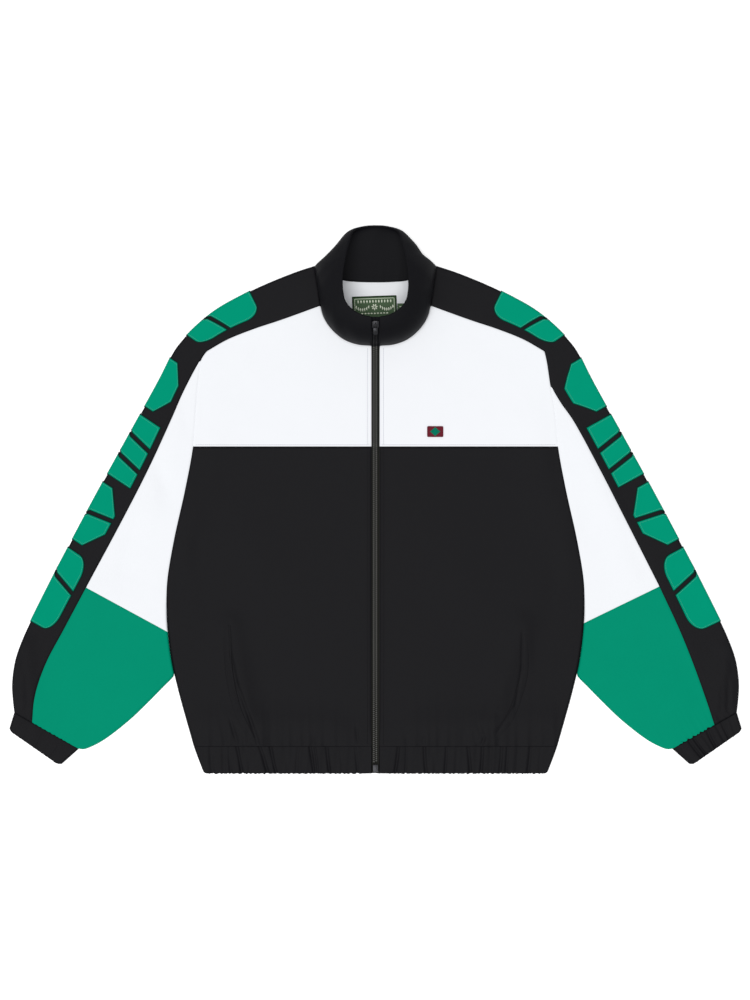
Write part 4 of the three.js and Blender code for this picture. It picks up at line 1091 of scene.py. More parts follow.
# Tucks in the casings' cloth: place at the seam, place at the end, depth and half width. Places are x on
# the hem band, and distance from the inner edge on the cuffs.
HEM_TUCKS = [
    (-224, -219, 0.6, 2.6), (-207, -203, 0.5, 3.0), (-197.8, -195, 0.9, 2.2),
    (-187.4, -179.7, 1.7, 2.0), (-172, -170, 0.4, 3.2), (-156.6, -145.1, 1.8, 2.2),
    (-142.4, -133.4, 1.6, 1.9), (-121, -119, 0.5, 3.0),
    (-103.8, -106.4, 1.0, 2.4), (-88.4, -83.3, 1.7, 1.9), (-81.9, -78, 1.1, 1.6), (-65.5, -62, 1.7, 2.0),
    (-46, -45, 0.5, 2.6), (-26.7, -24.2, 1.0, 1.9), (31.2, 26, 1.6, 2.0), (42.5, 40, 0.9, 1.8),
    (53, 51, 0.4, 3.0), (65.9, 68.4, 1.7, 2.0), (79, 80, 0.5, 2.6), (95.4, 94.1, 1.5, 1.9),
    (110, 109, 0.5, 2.8), (124.9, 127.6, 1.8, 2.0), (144.3, 141.8, 1.6, 1.9), (156, 154, 0.6, 2.4),
    (170, 167.4, 1.3, 1.9), (177.5, 176.4, 1.2, 1.7), (193, 190, 0.5, 2.8), (208.6, 205.9, 1.2, 2.0),
    (223, 221, 0.7, 2.2),
]
CUFF_TUCKS = {
    "right": [(9, 10, 0.3, 2.0), (21, 19, 0.45, 1.8), (33, 34, 0.25, 2.4), (45, 43, 0.5, 1.9),
              (60, 62, 0.3, 2.2), (74, 76, 0.35, 2.2)],
    "left": [(8, 9, 0.4, 2.2), (22, 19, 1.6, 1.7), (28, 26.5, 1.7, 1.6), (38, 38, 0.4, 2.4),
             (47, 43, 1.5, 1.8), (58, 59, 0.6, 2.0), (67, 65, 1.4, 1.7), (78, 77, 0.5, 2.0)],
}
BACK_TUCKS = {"pitch": 13, "depth": 0.9}
CUFF_ALLOWANCE = {"start": 8, "past": 3.5, "points": 60, "out": -2.4, "up": 3.4, "level": 2.9,
                  "thick": 0.6}


def tucked(place, row, tucks):
    """How deep the tucks are at places along a casing, at a share of its width from the seam."""
    depth = np.zeros_like(place)
    for start, end, deep, width in tucks:
        away = place - start - (end - start) * row - 0.5 * math.sin(3.1 * row + start)
        depth = depth + deep * (0.65 + 0.35 * row) * np.exp(-((away / width) ** 2))
    return depth


def sunk(row):
    """How far a casing's face lies below its crest, at a share of its width."""
    return CASING_SWELL * math.sin(math.pi * row) ** 0.5 - CASING_SWELL


def cuff_face(name, fine):
    """The cuff's outer face as a flattened loop, row by row from the seam to the end."""
    side, radius = SIDES[name], CUFF_LOOP["top"] / 2
    inset = radius / CUFF_LOOP["width"]
    over = np.linspace(inset, 1 - inset, CUFF_LOOP["over"])
    under = np.linspace(1 - inset, inset, CUFF_LOOP["under"])
    bend = inset * np.cos(ROUND_FOLD)
    across = np.r_[over, 1 - inset + bend, under, inset - bend[::-1]]
    lift = radius * (1 + np.sin(ROUND_FOLD))
    z = np.r_[np.full(len(over), 2 * radius), lift, np.zeros(len(under)), lift[::-1]]
    elsewhere = np.zeros(len(across) - len(over))
    on_top = np.r_[np.ones(len(over)), elsewhere]
    calm = np.r_[np.sin(np.pi * np.linspace(0, 1, len(over))) ** 0.3, elsewhere]
    place = across * CUFF_LOOP["width"]
    from_edge = np.minimum(place, CUFF_LOOP["width"] - place)
    corner = np.clip(1 - from_edge / CUFF_CORNER["reach"], 0, 1) ** 2
    scallop = uneven_wave(place, CUFF_SCALLOPS["pitch"], 2.2 + side)
    seam, end = (np.array(line[0]) + np.outer(across, np.subtract(line[1], line[0]))
                 for line in (CUFF_SEAM, CUFF_END))
    first = SEAM / CUFF_LOOP["length"]
    grid = []
    for row in CASING_ROWS:
        wavy = CUFF_SCALLOPS["share"] * scallop * calm - CUFF_CORNER["share"] * corner
        at = seam + (end - seam) * (first + row * (1 - first) + row**2 * wavy)[:, None]
        swell = sunk(row) + 0.2 * uneven_wave(place + 3 * row, 11, side)
        rise = calm * swell - fine * on_top * calm * tucked(place, row, CUFF_TUCKS[name])
        grid.append(np.column_stack([at, z + rise]))
    return flip(np.array(grid), side)


def hem_face(fine):
    """The hem band's outer face, one strip from the zip round the back to the zip again."""
    radius = HEM_TOP / 2
    share = np.r_[0, 0.002, 0.006, np.linspace(0.012, 1, 260)]
    grid = []
    for row in CASING_ROWS:
        reach = HEM_HALF["seam"] + (HEM_HALF["bottom"] - HEM_HALF["seam"]) * row - radius
        y = HEM_SEAM - HEM_UNDER + (HEM_BOTTOM - HEM_SEAM + HEM_UNDER) * row
        swell = sunk(row) * (0.4 if row < 0.5 else 1)

        def rounding(x):
            """How far the lower corners are rounded up."""
            from_side = np.clip((reach + radius - x) / HEM_CORNER, 0, 1)
            return HEM_CORNER * (1 - np.sqrt(1 - (1 - from_side) ** 2))

        def over(sign):
            """The front strip of one side, from the zip outwards."""
            x = ZIP_GAP + (reach - ZIP_GAP) * share
            calm = smoothstep(x, *HEM_CALM["zip"]) * (1 - smoothstep(x, reach - HEM_CALM["side"], reach))
            wave = uneven_wave(sign * x + 3 * row, HEM_GATHER["pitch"], HEM_GATHER["seed"])
            coarse, close = HEM_SCALLOPS["pitches"]
            scallop = uneven_wave(sign * x, coarse, 1.1) + 0.5 * uneven_wave(sign * x, close, 0.3)
            rise = calm * (0.3 * wave + swell - fine * tucked(sign * x, row, HEM_TUCKS))
            foot = calm * (HEM_SCALLOPS["rise"] * scallop + HEM_SCALLOPS["base"])
            return np.column_stack([sign * x, y + row**2 * (foot + rounding(x)), HEM_TOP + rise])

        def turn(sign):
            """The fold round one side."""
            x = reach + radius * np.cos(ROUND_FOLD)
            z = radius * (1 + np.sin(ROUND_FOLD))
            return np.column_stack([sign * x, y + row**2 * rounding(x), z])

        x = np.linspace(-reach, reach, 240)
        calm = 1 - smoothstep(np.abs(x), reach - HEM_CALM["side"], reach)
        wave = uneven_wave(x + 2 * row, BACK_TUCKS["pitch"], 1.3)
        under = np.column_stack([x, y + row**2 * (0.4 * calm * wave + rounding(np.abs(x))),
                                 fine * BACK_TUCKS["depth"] * calm * np.clip(wave - 0.15, 0, 1)])
        grid.append(np.vstack([over(-1), turn(-1), under, turn(1)[::-1], over(1)[::-1]]))
    return np.array(grid)


def collar_front(t):
    """Points up the face of the collar at its centre front, at shares from its seam to its top."""
    centre = [np.array([0, *collar_point(*point)[1:]], float) for point in COLLAR_SECTIONS[0]]
    return bowed(*centre, np.asarray(t, float)[..., None])


class ZipSurface:
    """Places on the zip by distance up its line, x across it and depth below its face."""

    MARKS = 700
    SMOOTHED = 7  # marks on each side that a place is averaged over

    def __init__(self):
        hem = [(y, HEM_TOP) for y in (HEM_BOTTOM + 1, HEM_BOTTOM + 14, HEM_SEAM)]
        body = [(y, float(quiet_height(0.0, y))) for y in np.linspace(HEM_SEAM + 20, FRONT_NECK - 6, 40)]
        line = np.vstack([hem, body, collar_front(np.linspace(0, 1, 24)[1:])[:, 1:]])
        self.marks = np.linspace(0, running(line)[-1], self.MARKS)
        self.line = along(line, np.linspace(0, 1, self.MARKS))
        window = 2 * self.SMOOTHED + 1
        for k in range(2):
            padded = np.pad(self.line[:, k], self.SMOOTHED, mode="reflect", reflect_type="odd")
            self.line[:, k] = np.convolve(padded, np.ones(window) / window, mode="valid")
        tangent = np.gradient(self.line, axis=0)
        self.tangent = tangent / np.linalg.norm(tangent, axis=1, keepdims=True)

    def at(self, distance, x, depth=0.0):
        """Points and normals."""
        distance, x, depth = np.broadcast_arrays(*(np.asarray(v, float) for v in (distance, x, depth)))
        y, z, ty, tz = (np.interp(distance, self.marks, v) for v in (*self.line.T, *self.tangent.T))
        points = np.stack([x, y + tz * depth, z - ty * depth], axis=-1)
        return points, np.stack([np.zeros_like(ty), -tz, ty], axis=-1)

    def distance_at(self, y):
        """How far up the line a height on the jacket's plan is."""
        return float(np.interp(y, self.line[:, 0], self.marks))


TAPE_DEPTH = 2.1
TAPE_CLOTH = 0.9
TAPE_INNER = 0.15
TAPE_UNDER_FRONT = 13
TAPE_WIDENS = (38, 46)  # distances up the zip between which the tapes widen under the fronts
TOOTH = {"centre": -0.6, "away": 1.7, "length": 2.4, "radius": 0.52, "depth": 0.9}
COIL_ENDS = (14.1, 3)  # bare tape below and above the coil
SLIDER_SHARE = 0.86  # place of the pull's pivot, as a share of the way up the collar's front
SLIDER = {"half_width": 4.5, "half_length": 5.5, "waist": 0.16, "thick": 1.4}
FLANGE = {"width": 1.3, "length": 8.6, "corner": 0.4, "away": 3.85, "low": -1.7, "high": 0.6}
ARCH = {"reach": 2.75, "rise": 2.7, "past": 0.25, "radius": 0.7}
PULL = {"half": 2.9, "length": 14, "level": 2.4, "thick": 1, "top": -4.4, "wire": 0.52}
BOSS = {"width": 6.4, "length": 5.6, "corner": 1.4, "squeeze": 0.45, "y": -8.4, "low": 0.35,
        "high": 0.72}
STOP = {"y": 6.3, "width": 7.4, "length": 10.2, "corner": 1.2, "high": 3.2}
STOP_RIB = {"width": 2.2, "length": 8, "corner": 0.8, "low": 3.0, "high": 3.7}


def slider_matrix():
    """The slider's own axes: across the zip, up the collar and out of it, at the pull's pivot."""
    near = [Vector(point) for point in collar_front(SLIDER_SHARE + np.array([-0.001, 0, 0.001]))]
    up = (near[2] - near[0]).normalized()
    out = Vector((1, 0, 0)).cross(up)
    axes = Matrix((Vector((1, 0, 0)), up, out)).transposed().to_4x4()
    return Matrix.Translation(near[1] + out * SEAM) @ axes


def placed(part, matrix):
    """Vertices and faces taken to a matrix's place."""
    points, faces = part
    m = np.array(matrix)
    return np.asarray(points, float) @ m[:3, :3].T + m[:3, 3], faces


def moved(part, offset):
    """Vertices moved, with their faces."""
    points, faces = part
    return np.asarray(points, float) + np.asarray(offset, float), faces


def upward(count):
    """Normals that point straight up."""
    return np.tile([0.0, 0.0, 1.0], (count, 1))


ZIP_STITCHES = {"away": 5.0, "over": 0.05, "radius": 0.28, "points": 200}
CHEST_STITCHES = {"above": 2.4, "below": 2.6, "end": 243.5, "over": 0.02, "radius": 0.22, "points": 400}


class JACKET_OT_body(bpy.types.Operator):
    """Fronts and backs of the body, with their topstitching"""

    bl_idname = "jacket.body"
    bl_label = "Body panels"

    def execute(self, context):
        cloths = {"upper": ("white", "white_shell"), "lower": ("black", "black_shell")}
        backs = self.backs()
        for name, side in SIDES.items():
            plans = body_plans(name)
            for part, (cloth, slot) in cloths.items():
                grid = top_panel(plans[part], side)
                piece = cloth_wall(f"front {part} {name}", grid, CLOTH, finish(cloth),
                                   base=top_panel(plans[part], side, sharp=False))
                settle(piece, f"front_{part}_{name}")
                state_cut(grid)
            self.zip_stitching(name, side)
            self.chest_stitching(name, side)
        return {"FINISHED"}

    def backs(self):
        """The two back panels, which the fronts lie on."""
        sides, mirror = body_sides(body_line()), np.array([-1, 1])
        neck = np.vstack([catmull(BACK_NECK_SEAM), catmull(BAND_BACK_EDGE)[1:]])
        heads = {"lower": [sides["lower"][-1] * mirror, sides["lower"][-1]],
                 "upper": np.vstack([neck[:0:-1] * mirror, neck])}
        us, made = spread(BACK_SPAN["width"], BACK_STEP), {}
        for part, cloth, slot in (("lower", "black", "black_shell"),
                                  ("upper", "back_white", "white_shell")):
            side, vs = sides[part], spread(BACK_SPAN[part], BACK_STEP)
            plan = shrink(coons([side[0] * mirror, side[0]], heads[part], side * mirror, side, us, vs))
            edge = below_pit(plan[:, -1:, 1])
            outer, inner = under_panel(plan, 1, (("low", edge), ("high", edge)))
            piece = mesh_object(f"back {part}", *shell(inner, outer), finish(cloth))
            settle(piece, f"back_{part}")
            state_cut(outer)
            made[part] = piece
        return made

    def stitch(self, title, x, y, over, radius, cloth, slot):
        """One row of topstitching over places of the plan."""
        path = np.column_stack([x, y, top_height(x, y) + over])
        parts = running_stitch(path, upward(len(path)), size("stitch_pitch"), radius=radius)
        settle(joined(title, parts, finish(cloth)), None)

    def zip_stitching(self, name, side):
        """A row beside the zip, pale on the white cloth."""
        row = ZIP_STITCHES
        for part, low, high, cloth, slot in (
            ("upper", CHEST_SEAM + 2, FRONT_NECK - 3, "pale_thread", "white_shell"),
            ("lower", HEM_SEAM + 2, CHEST_SEAM - 2, "shell_thread", "black_shell"),
        ):
            y = np.linspace(high, low, row["points"])
            x = np.full(len(y), side * (ZIP_GAP + row["away"]))
            self.stitch(f"topstitch {part} {name}", x, y, row["over"], row["radius"], cloth, slot)

    def chest_stitching(self, name, side):
        """A row above and a row below the seam across the chest."""
        row = CHEST_STITCHES
        for part, y, cloth, slot in (
            ("above", CHEST_SEAM + row["above"], "pale_thread", "white_shell"),
            ("below", CHEST_SEAM - row["below"], "shell_thread", "black_shell"),
        ):
            x = side * np.linspace(ZIP_GAP + 2, row["end"], row["points"])
            y = np.full(len(x), y)
            self.stitch(f"topstitch {part} chest {name}", x, y, row["over"], row["radius"], cloth, slot)


class JACKET_OT_sleeves(bpy.types.Operator):
    """Sleeve panels, saddle bands and the motifs sewn on the bands"""

    bl_idname = "jacket.sleeves"
    bl_label = "Sleeves"

    def execute(self, context):
        for name, side in SIDES.items():
            plans = sleeve_plans(name)
            for part, cloth, slot in (("upper", "white", "white_shell"),
                                      ("lower", "green", "green_shell")):
                plan = plans[part]
                edge = below_pit(plan[:, -1:, 1])
                outer, inner = under_panel(plan, side, (("high", edge),))
                back = mesh_object(f"sleeve back {part} {name}", *shell(inner, outer), finish(cloth))
                settle(back, f"sleeve_back_{part}_{name}")
                state_cut(outer)
                grid = top_panel(plan, side)
                front = cloth_wall(f"sleeve front {part} {name}", grid, CLOTH, finish(cloth))
                settle(front, f"sleeve_front_{part}_{name}")
                state_cut(grid)
            surface = band_surface(name, side)
            band = cloth_wall(f"saddle band {name}", surface.grid, CLOTH, finish("black"),
                              probe=surface.probe)
            settle(band, f"sleeve_band_{name}")
            state_cut(surface.grid)
            for index, row in enumerate(MOTIFS, 1):
                cloth, edge, stitch = motif(f"{index} {name}", surface, row)
                settle(cloth, f"motif_{index}_{name}")
                for piece in (edge, stitch):
                    settle(piece, None)
        return {"FINISHED"}


class JACKET_OT_casings(bpy.types.Operator):
    """Gathered cuffs and hem band, and the collar"""

    bl_idname = "jacket.casings"
    bl_label = "Collar, cuffs and hem"

    def execute(self, context):
        grid = collar_face()
        collar = cloth_wall("collar", grid, COLLAR_CLOTH, finish("collar"), probe=COLLAR_PROBE, bulge=0.4)
        settle(collar, "collar")
        state_cut(grid)
        for name in SIDES:
            self.neck_allowance(name)
            face, quiet = cuff_face(name, 1), cuff_face(name, 0)
            inner = quiet - normals_of(quiet, True, (0.5, 0.3)) * CASING_CLOTH
            cuff = mesh_object(f"cuff {name}", *shell(face, inner, True), finish("black"))
            settle(cuff, f"cuff_{name}")
            state_cut(face, closed=True)
            self.seam_allowance(name)
        face, quiet = hem_face(1), hem_face(0)
        inner = quiet - normals_of(quiet, probe=(0.5, 0.2)) * CASING_CLOTH
        hem = mesh_object("hem band", *shell(face, inner), finish("black"))
        settle(hem, "hem_band")
        state_cut(face)
        return {"FINISHED"}

    def neck_allowance(self, name):
        """The turned-in edges under the collar's seam, from the zip to the shoulder fold."""
        foot = [collar_point(*section[0]) for section in COLLAR_SECTIONS[:NECK_SECTIONS]]
        line = along(catmull(foot), np.linspace(0, NECK_SHARE, 80))
        forward = np.gradient(line[:, :2], axis=0)
        forward /= np.linalg.norm(forward, axis=1, keepdims=True)
        across = np.column_stack([forward[:, 1], -forward[:, 0]])
        plan = line[:, None, :2] + across[:, None] * NECK_ALLOWANCE[None, :, :1]
        outer = np.dstack([plan, line[:, 2:] + NECK_ALLOWANCE[None, :, 1]])
        strip = cloth_wall(f"neck seam allowance {name}", flip(outer, SIDES[name]), NECK_CLOTH,
                           finish("black"))
        settle(strip, None)

    def seam_allowance(self, name):
        """The turned-in edges behind a cuff's seam."""
        row = CUFF_ALLOWANCE
        seam = np.array(CUFF_SEAM, float)
        run = (seam[1] - seam[0]) / np.linalg.norm(seam[1] - seam[0])
        across = np.array([-run[1], run[0]])
        reach = np.linspace(row["start"], CUFF_LOOP["width"] + row["past"], row["points"])
        line = seam[0] + np.outer(reach, run)
        plan = line[:, None] + across * np.linspace(row["out"], row["up"], 5)[None, :, None]
        height = row["level"] + 0.1 * uneven_wave(np.arange(row["points"]) * 1.5, 9, 0.5)
        outer = np.dstack([plan, np.tile(height[:, None], (1, 5))])
        strip = cloth_wall(f"cuff seam allowance {name}", flip(outer, SIDES[name]), row["thick"],
                           finish("black"))
        settle(strip, None)


class JACKET_OT_zip(bpy.types.Operator):
    """Zip tapes, coil, slider, pull and bottom stop"""

    bl_idname = "jacket.zip"
    bl_label = "Zip"

    def execute(self, context):
        surface = ZipSurface()
        end = surface.marks[-1]
        seam = surface.distance_at(FRONT_NECK - 8)
        for name, side in SIDES.items():
            d = np.linspace(0, end, 420)
            wide = smoothstep(d, *TAPE_WIDENS) * (1 - smoothstep(d, seam - 4, seam))
            outer_x = ZIP_GAP - SEAM + (TAPE_UNDER_FRONT - ZIP_GAP + SEAM) * wide
            across = np.linspace(0, 1, 7)[None]
            x = side * (TAPE_INNER + (outer_x[:, None] - TAPE_INNER) * across)
            face, _ = surface.at(d[:, None], x, TAPE_DEPTH)
            tape = cloth_wall(f"zip tape {name}", face, TAPE_CLOTH, finish("tape"))
            settle(tape, f"zip_tape_{name}")
            state_cut(face)
        parts = []
        for k, d in enumerate(np.arange(COIL_ENDS[0], end - COIL_ENDS[1], size("coil_pitch") / 2)):
            x = TOOTH["centre"] + (TOOTH["away"] if k % 2 else -TOOTH["away"])
            centre, out = surface.at(d, x, TOOTH["depth"])
            parts += spindles(centre[None], np.array([[1.0, 0, 0]]), out[None], TOOTH["length"],
                              TOOTH["radius"])
        settle(joined("zip coil", parts, finish("coil")), "zip_chain")
        matrix = slider_matrix()
        self.slider(matrix)
        self.pull(matrix)
        self.stop()
        return {"FINISHED"}

    def slider(self, matrix):
        """The slider's waisted plate, its two flanges and the arch that holds the pull."""
        outline = []
        for turn in 2 * math.pi * np.arange(28) / 28:
            waist = 1 - SLIDER["waist"] * (1 - math.sin(turn)) / 2
            x = math.copysign(abs(math.cos(turn)) ** 0.55, math.cos(turn))
            y = math.copysign(abs(math.sin(turn)) ** 0.8, math.sin(turn))
            outline.append((SLIDER["half_width"] * waist * x, SLIDER["half_length"] * y))
        top = SEAM + SLIDER["thick"]
        plate = slab(outline, SEAM, top, 0.3)
        bar = slab(rounded_rectangle(FLANGE["width"], FLANGE["length"], FLANGE["corner"]),
                   SEAM + FLANGE["low"], SEAM + FLANGE["high"], 0.25)
        flanges = [moved(bar, (side * FLANGE["away"], 0, 0)) for side in (-1, 1)]
        turn = np.linspace(-ARCH["past"], math.pi + ARCH["past"], 20)
        out = np.column_stack([np.zeros(20), np.cos(turn), np.sin(turn)])
        arch = tube(out * (0, ARCH["reach"], ARCH["rise"]) + (0, 0, top), out, ARCH["radius"], sides=10)
        parts = [placed(part, matrix) for part in (plate, *flanges, arch)]
        settle(joined("zip slider", parts, finish("metal")), "zip_slider")

    def pull(self, matrix):
        """The pull tab: a plate with a round end, the wire it hangs by and a raised boss."""
        half, level, top, thick = PULL["half"], SEAM + PULL["level"], PULL["top"], PULL["thick"] / 2
        end = half - PULL["length"]
        tab = [(half * math.cos(turn), end + half * math.sin(turn))
               for turn in math.pi + math.pi * np.arange(15) / 14]
        tab += [(half, top), (half - 0.2, top + 0.2), (-half + 0.2, top + 0.2), (-half, top)]
        plate = slab(tab, level - thick, level + thick, 0.2)
        near, far = half - 0.55, half - 1.1
        corners = [(-near, top), (-near, -0.1), (-far, 0), (far, 0), (near, -0.1), (near, top)]
        rail = along(np.array(corners), np.linspace(0, 1, 30))
        wire = tube(np.column_stack([rail, np.full(30, level)]), upward(30), PULL["wire"], sides=10)
        outline = rounded_rectangle(BOSS["width"], BOSS["length"], BOSS["corner"])
        boss = slab([(x * BOSS["squeeze"], y + BOSS["y"]) for x, y in outline], level + BOSS["low"],
                    level + BOSS["high"], 0.15)
        parts = [placed(part, matrix) for part in (plate, wire, boss)]
        settle(joined("zip pull", parts, finish("metal")), "zip_pull", body="pull")

    def stop(self):
        """The bottom box of the zip, with a rib along it."""
        box = slab(rounded_rectangle(STOP["width"], STOP["length"], STOP["corner"]), 0, STOP["high"], 0.5)
        rib = slab(rounded_rectangle(STOP_RIB["width"], STOP_RIB["length"], STOP_RIB["corner"]),
                   STOP_RIB["low"], STOP_RIB["high"], 0.25)
        place = (0, HEM_BOTTOM + STOP["y"], HEM_TOP - TAPE_DEPTH + SEAM)
        parts = [moved(part, place) for part in (box, rib)]
        settle(joined("zip stop", parts, finish("metal")), "zip_stop")


POCKET_MOUTH = {
    "right": [(-196.4, -168.8), (-195, -214.7), (-191, -248.4), (-181.6, -284.9), (-162.5, -323.5)],
    "left": [(196.4, -180), (196.4, -234.9), (189.7, -261.9), (176.2, -295.7), (158, -317)],
}
# A welt's two edges, from the mouth's line, its cloth at both, and how far its outer edge is sunk.
WELT = {"outer": -9.6, "inner": 0.9, "thin": 0.5, "thick": 0.75, "sunk": 0.95}
PATCH = {"x": 80.5, "y": 90.9, "width": 21.4, "height": 14.2, "corner": 1.0, "thick": 0.9}
PATCH_THREAD = {"pitch": 0.42, "margin": 1.6, "point": 1.1, "share": 0.34, "radius": 0.26}
PATCH_EDGE = {"inset": 0.4, "corner": 0.9, "points": 150, "radius": 0.55, "rib": 0.08}
LABEL = {"x": -1.1, "top": 274, "width": 60, "height": 38, "turn": 0.035, "thick": 0.6}
LABEL_LINES = {"border": (0.9, 0.9, "label_border"), "inner line": (3.4, 0.3, "label_mark")}
LOZENGES = {"count": 12, "pitch": 4.0, "below_top": 7.3, "half": 2}
ROSETTE = {"petals": 7, "turn": 0.2, "y": 4.0, "radii": (1.0, 2.7, 4.4)}
SWAG = {"leaves": 7, "start": 7.6, "pitch": 2.8, "y": 0.6, "bow": 0.4, "half": 2.2, "lean": 0.6}
DASHES = {"count": 9, "pitch": 4.2, "half": 1.5, "y": -4.6, "bow": 0.2}
LEAF = {"radii": [0.4, 1.1, 0.4], "flat": 0.35, "level": 0.7}
SIZE_TAB = {"x": 35, "top": 264, "width": 11.4, "height": 14, "thick": 0.45}
TAB_DASHES = {"half": 2.6, "rows": (-2.6, 0, 2.6), "radius": 0.45, "flat": 0.35, "level": 0.5}


class JACKET_OT_trims(bpy.types.Operator):
    """Pocket welts, labels and the chest patch"""

    bl_idname = "jacket.trims"
    bl_label = "Welts, labels and patch"

    def execute(self, context):
        for name in SIDES:
            self.welt(name)
        self.patch()
        self.neck_label()
        self.size_tab()
        return {"FINISHED"}

    def welt(self, name):
        """A pocket's welt: proud along its mouth, and sunk into the front behind it and at its ends."""
        line = along(catmull(POCKET_MOUTH[name]), np.linspace(0, 1, 60))
        forward = np.gradient(line, axis=0)
        forward /= np.linalg.norm(forward, axis=1, keepdims=True)
        across = np.column_stack([-forward[:, 1], forward[:, 0]])
        shares = np.r_[0, 0.05, np.linspace(0.12, 0.92, 8), 1]
        marks = WELT["outer"] + (WELT["inner"] - WELT["outer"]) * shares
        plan = line[:, None] + across[:, None] * -SIDES[name] * marks[None, :, None]
        x, y = plan[..., 0], plan[..., 1]
        share = np.linspace(0, 1, len(marks))[None, :, None] ** 0.7
        ends = np.sin(np.pi * np.linspace(0, 1, len(line)))[:, None, None].clip(0) ** 0.5
        proud = share * ends
        wall = WELT["thin"] + (WELT["thick"] - WELT["thin"]) * proud
        up = np.array([0.0, 0.0, 1.0])
        inner = np.dstack([x, y, top_height(x, y)]) + (SEAM - WELT["sunk"] * (1 - proud)) * up
        outer = inner + wall * up
        piece = mesh_object(f"pocket welt {name}", *shell(outer, inner), finish("black"))
        settle(piece, f"pocket_welt_{name}")
        state_cut(outer)

    def patch(self):
        """The chest patch: a plain ground, one lozenge of satin stitch and a stitched edge."""
        w, h = PATCH["width"], PATCH["height"]
        centre = np.array([PATCH["x"], PATCH["y"]])
        outline = centre + np.array(rounded_rectangle(w, h, PATCH["corner"]))
        points, faces = slab(outline, SEAM, SEAM + PATCH["thick"], 0.3)
        points[:, 2] += top_height(points[:, 0], points[:, 1])
        piece = joined("chest patch", [(points, faces)], finish("patch"))
        settle(piece, "chest_patch")
        row = PATCH_THREAD
        level = np.arange(-h / 2 + row["margin"], h / 2 - 1.5, row["pitch"])
        half = (1 - np.abs(level) / (h / 2 - row["point"])) * w * row["share"]
        parts = []
        for y, reach in zip(level + centre[1], half):
            z = float(top_height(centre[0], y)) + SEAM + PATCH["thick"] + 0.05
            parts += spindles(np.array([[centre[0], y, z]]), np.array([[1.0, 0.0, 0.0]]), upward(1),
                              2 * reach + 0.5, row["radius"])
        settle(joined("patch lozenge", parts, finish("patch_stripe")), None)
        row = PATCH_EDGE
        loop = np.array(rounded_rectangle(w - 2 * row["inset"], h - 2 * row["inset"], row["corner"], 8))
        shares = np.linspace(0, 1, row["points"] + 1)
        loop = along(np.vstack([loop, loop[:1]]), shares)[:-1] + centre
        path = np.column_stack([loop, top_height(loop[:, 0], loop[:, 1]) + SEAM + PATCH["thick"] - 0.1])
        radii = np.full(len(path), row["radius"])
        radii[::2] += row["rib"]
        edge = tube(path, upward(len(path)), radii, sides=8, closed=True)
        settle(joined("patch edge", [edge], finish("patch")), None)

    def neck_label(self):
        """A rosette over two swags of leaves, between a row of lozenges and a row of dashes."""
        w, h = LABEL["width"], LABEL["height"]
        turn = Matrix.Rotation(LABEL["turn"], 4, "Z")
        matrix = Matrix.Translation((LABEL["x"], LABEL["top"] - h / 2, CLOTH + SEAM)) @ turn
        ground = placed(slab(rounded_rectangle(w, h, 0.8), 0, LABEL["thick"], 0.2), matrix)
        settle(joined("neck label", [ground], finish("label")), "neck_label")
        for kind, (inset, radius, colour) in LABEL_LINES.items():
            loop = np.array(rounded_rectangle(w - 2 * inset, h - 2 * inset, 1.0, 3))
            path = np.column_stack([loop, np.full(len(loop), LABEL["thick"] + 0.02)])
            line = placed(tube(path, upward(len(path)), radius, 0.25, 6, True), matrix)
            settle(joined(f"label {kind}", [line], finish(colour)), None)
        marks = [placed(tube([(x, y, LEAF["level"]) for x, y in leaf], upward(3), LEAF["radii"],
                             LEAF["flat"], 6), matrix) for leaf in self.label_leaves(h / 2)]
        settle(joined("label marks", marks, finish("label_mark")), None)

    def label_leaves(self, top):
        """The label's marks, each three points on its plane. Top is its upper edge."""
        leaves = []
        middle, half = top - LOZENGES["below_top"], LOZENGES["half"]
        for k in range(LOZENGES["count"]):
            x = (k - (LOZENGES["count"] - 1) / 2) * LOZENGES["pitch"]
            leaves.append([(x, middle - half), (x, middle), (x, middle + half)])
        for k in range(ROSETTE["petals"]):
            angle = 2 * math.pi * k / ROSETTE["petals"] + ROSETTE["turn"]
            leaves.append([(math.cos(angle) * r, ROSETTE["y"] + math.sin(angle) * r)
                           for r in ROSETTE["radii"]])
        for sign in (-1, 1):
            for k in range(SWAG["leaves"]):
                x = sign * (SWAG["start"] + SWAG["pitch"] * k)
                y = SWAG["y"] + SWAG["bow"] * (k - (SWAG["leaves"] - 1) / 2) ** 2
                tip, half = x + sign * SWAG["lean"], SWAG["half"]
                leaves.append([(x, y - half), (tip, y), (x, y + half)])
        y, half = DASHES["y"], DASHES["half"]
        for k in range(DASHES["count"]):
            x = (k - (DASHES["count"] - 1) / 2) * DASHES["pitch"]
            leaves.append([(x - half, y), (x, y + DASHES["bow"]), (x + half, y)])
        return leaves

    def size_tab(self):
        """The small tab beside the label, with three dashes."""
        w, h, row = SIZE_TAB["width"], SIZE_TAB["height"], TAB_DASHES
        centre = (SIZE_TAB["x"], SIZE_TAB["top"] - h / 2, CLOTH + SEAM)
        ground = moved(slab(rounded_rectangle(w, h, 0.5), 0, SIZE_TAB["thick"], 0.15), centre)
        settle(joined("size tab", [ground], finish("label")), "size_tab")
        marks = [moved(tube([(x, y, row["level"]) for x in (-row["half"], row["half"])], upward(2),
                            row["radius"], row["flat"], 6), centre) for y in row["rows"]]
        settle(joined("size tab marks", marks, finish("label_mark")), None)


FLOOR = {"half": 6000, "level": -0.6}  # just below the plane that the jacket lies on
SUN_PLACE = (-0.35, -0.35, 2.6)
CAMERA_PLACE = (-0.0007, -0.00135)  # beside the middle of the jacket


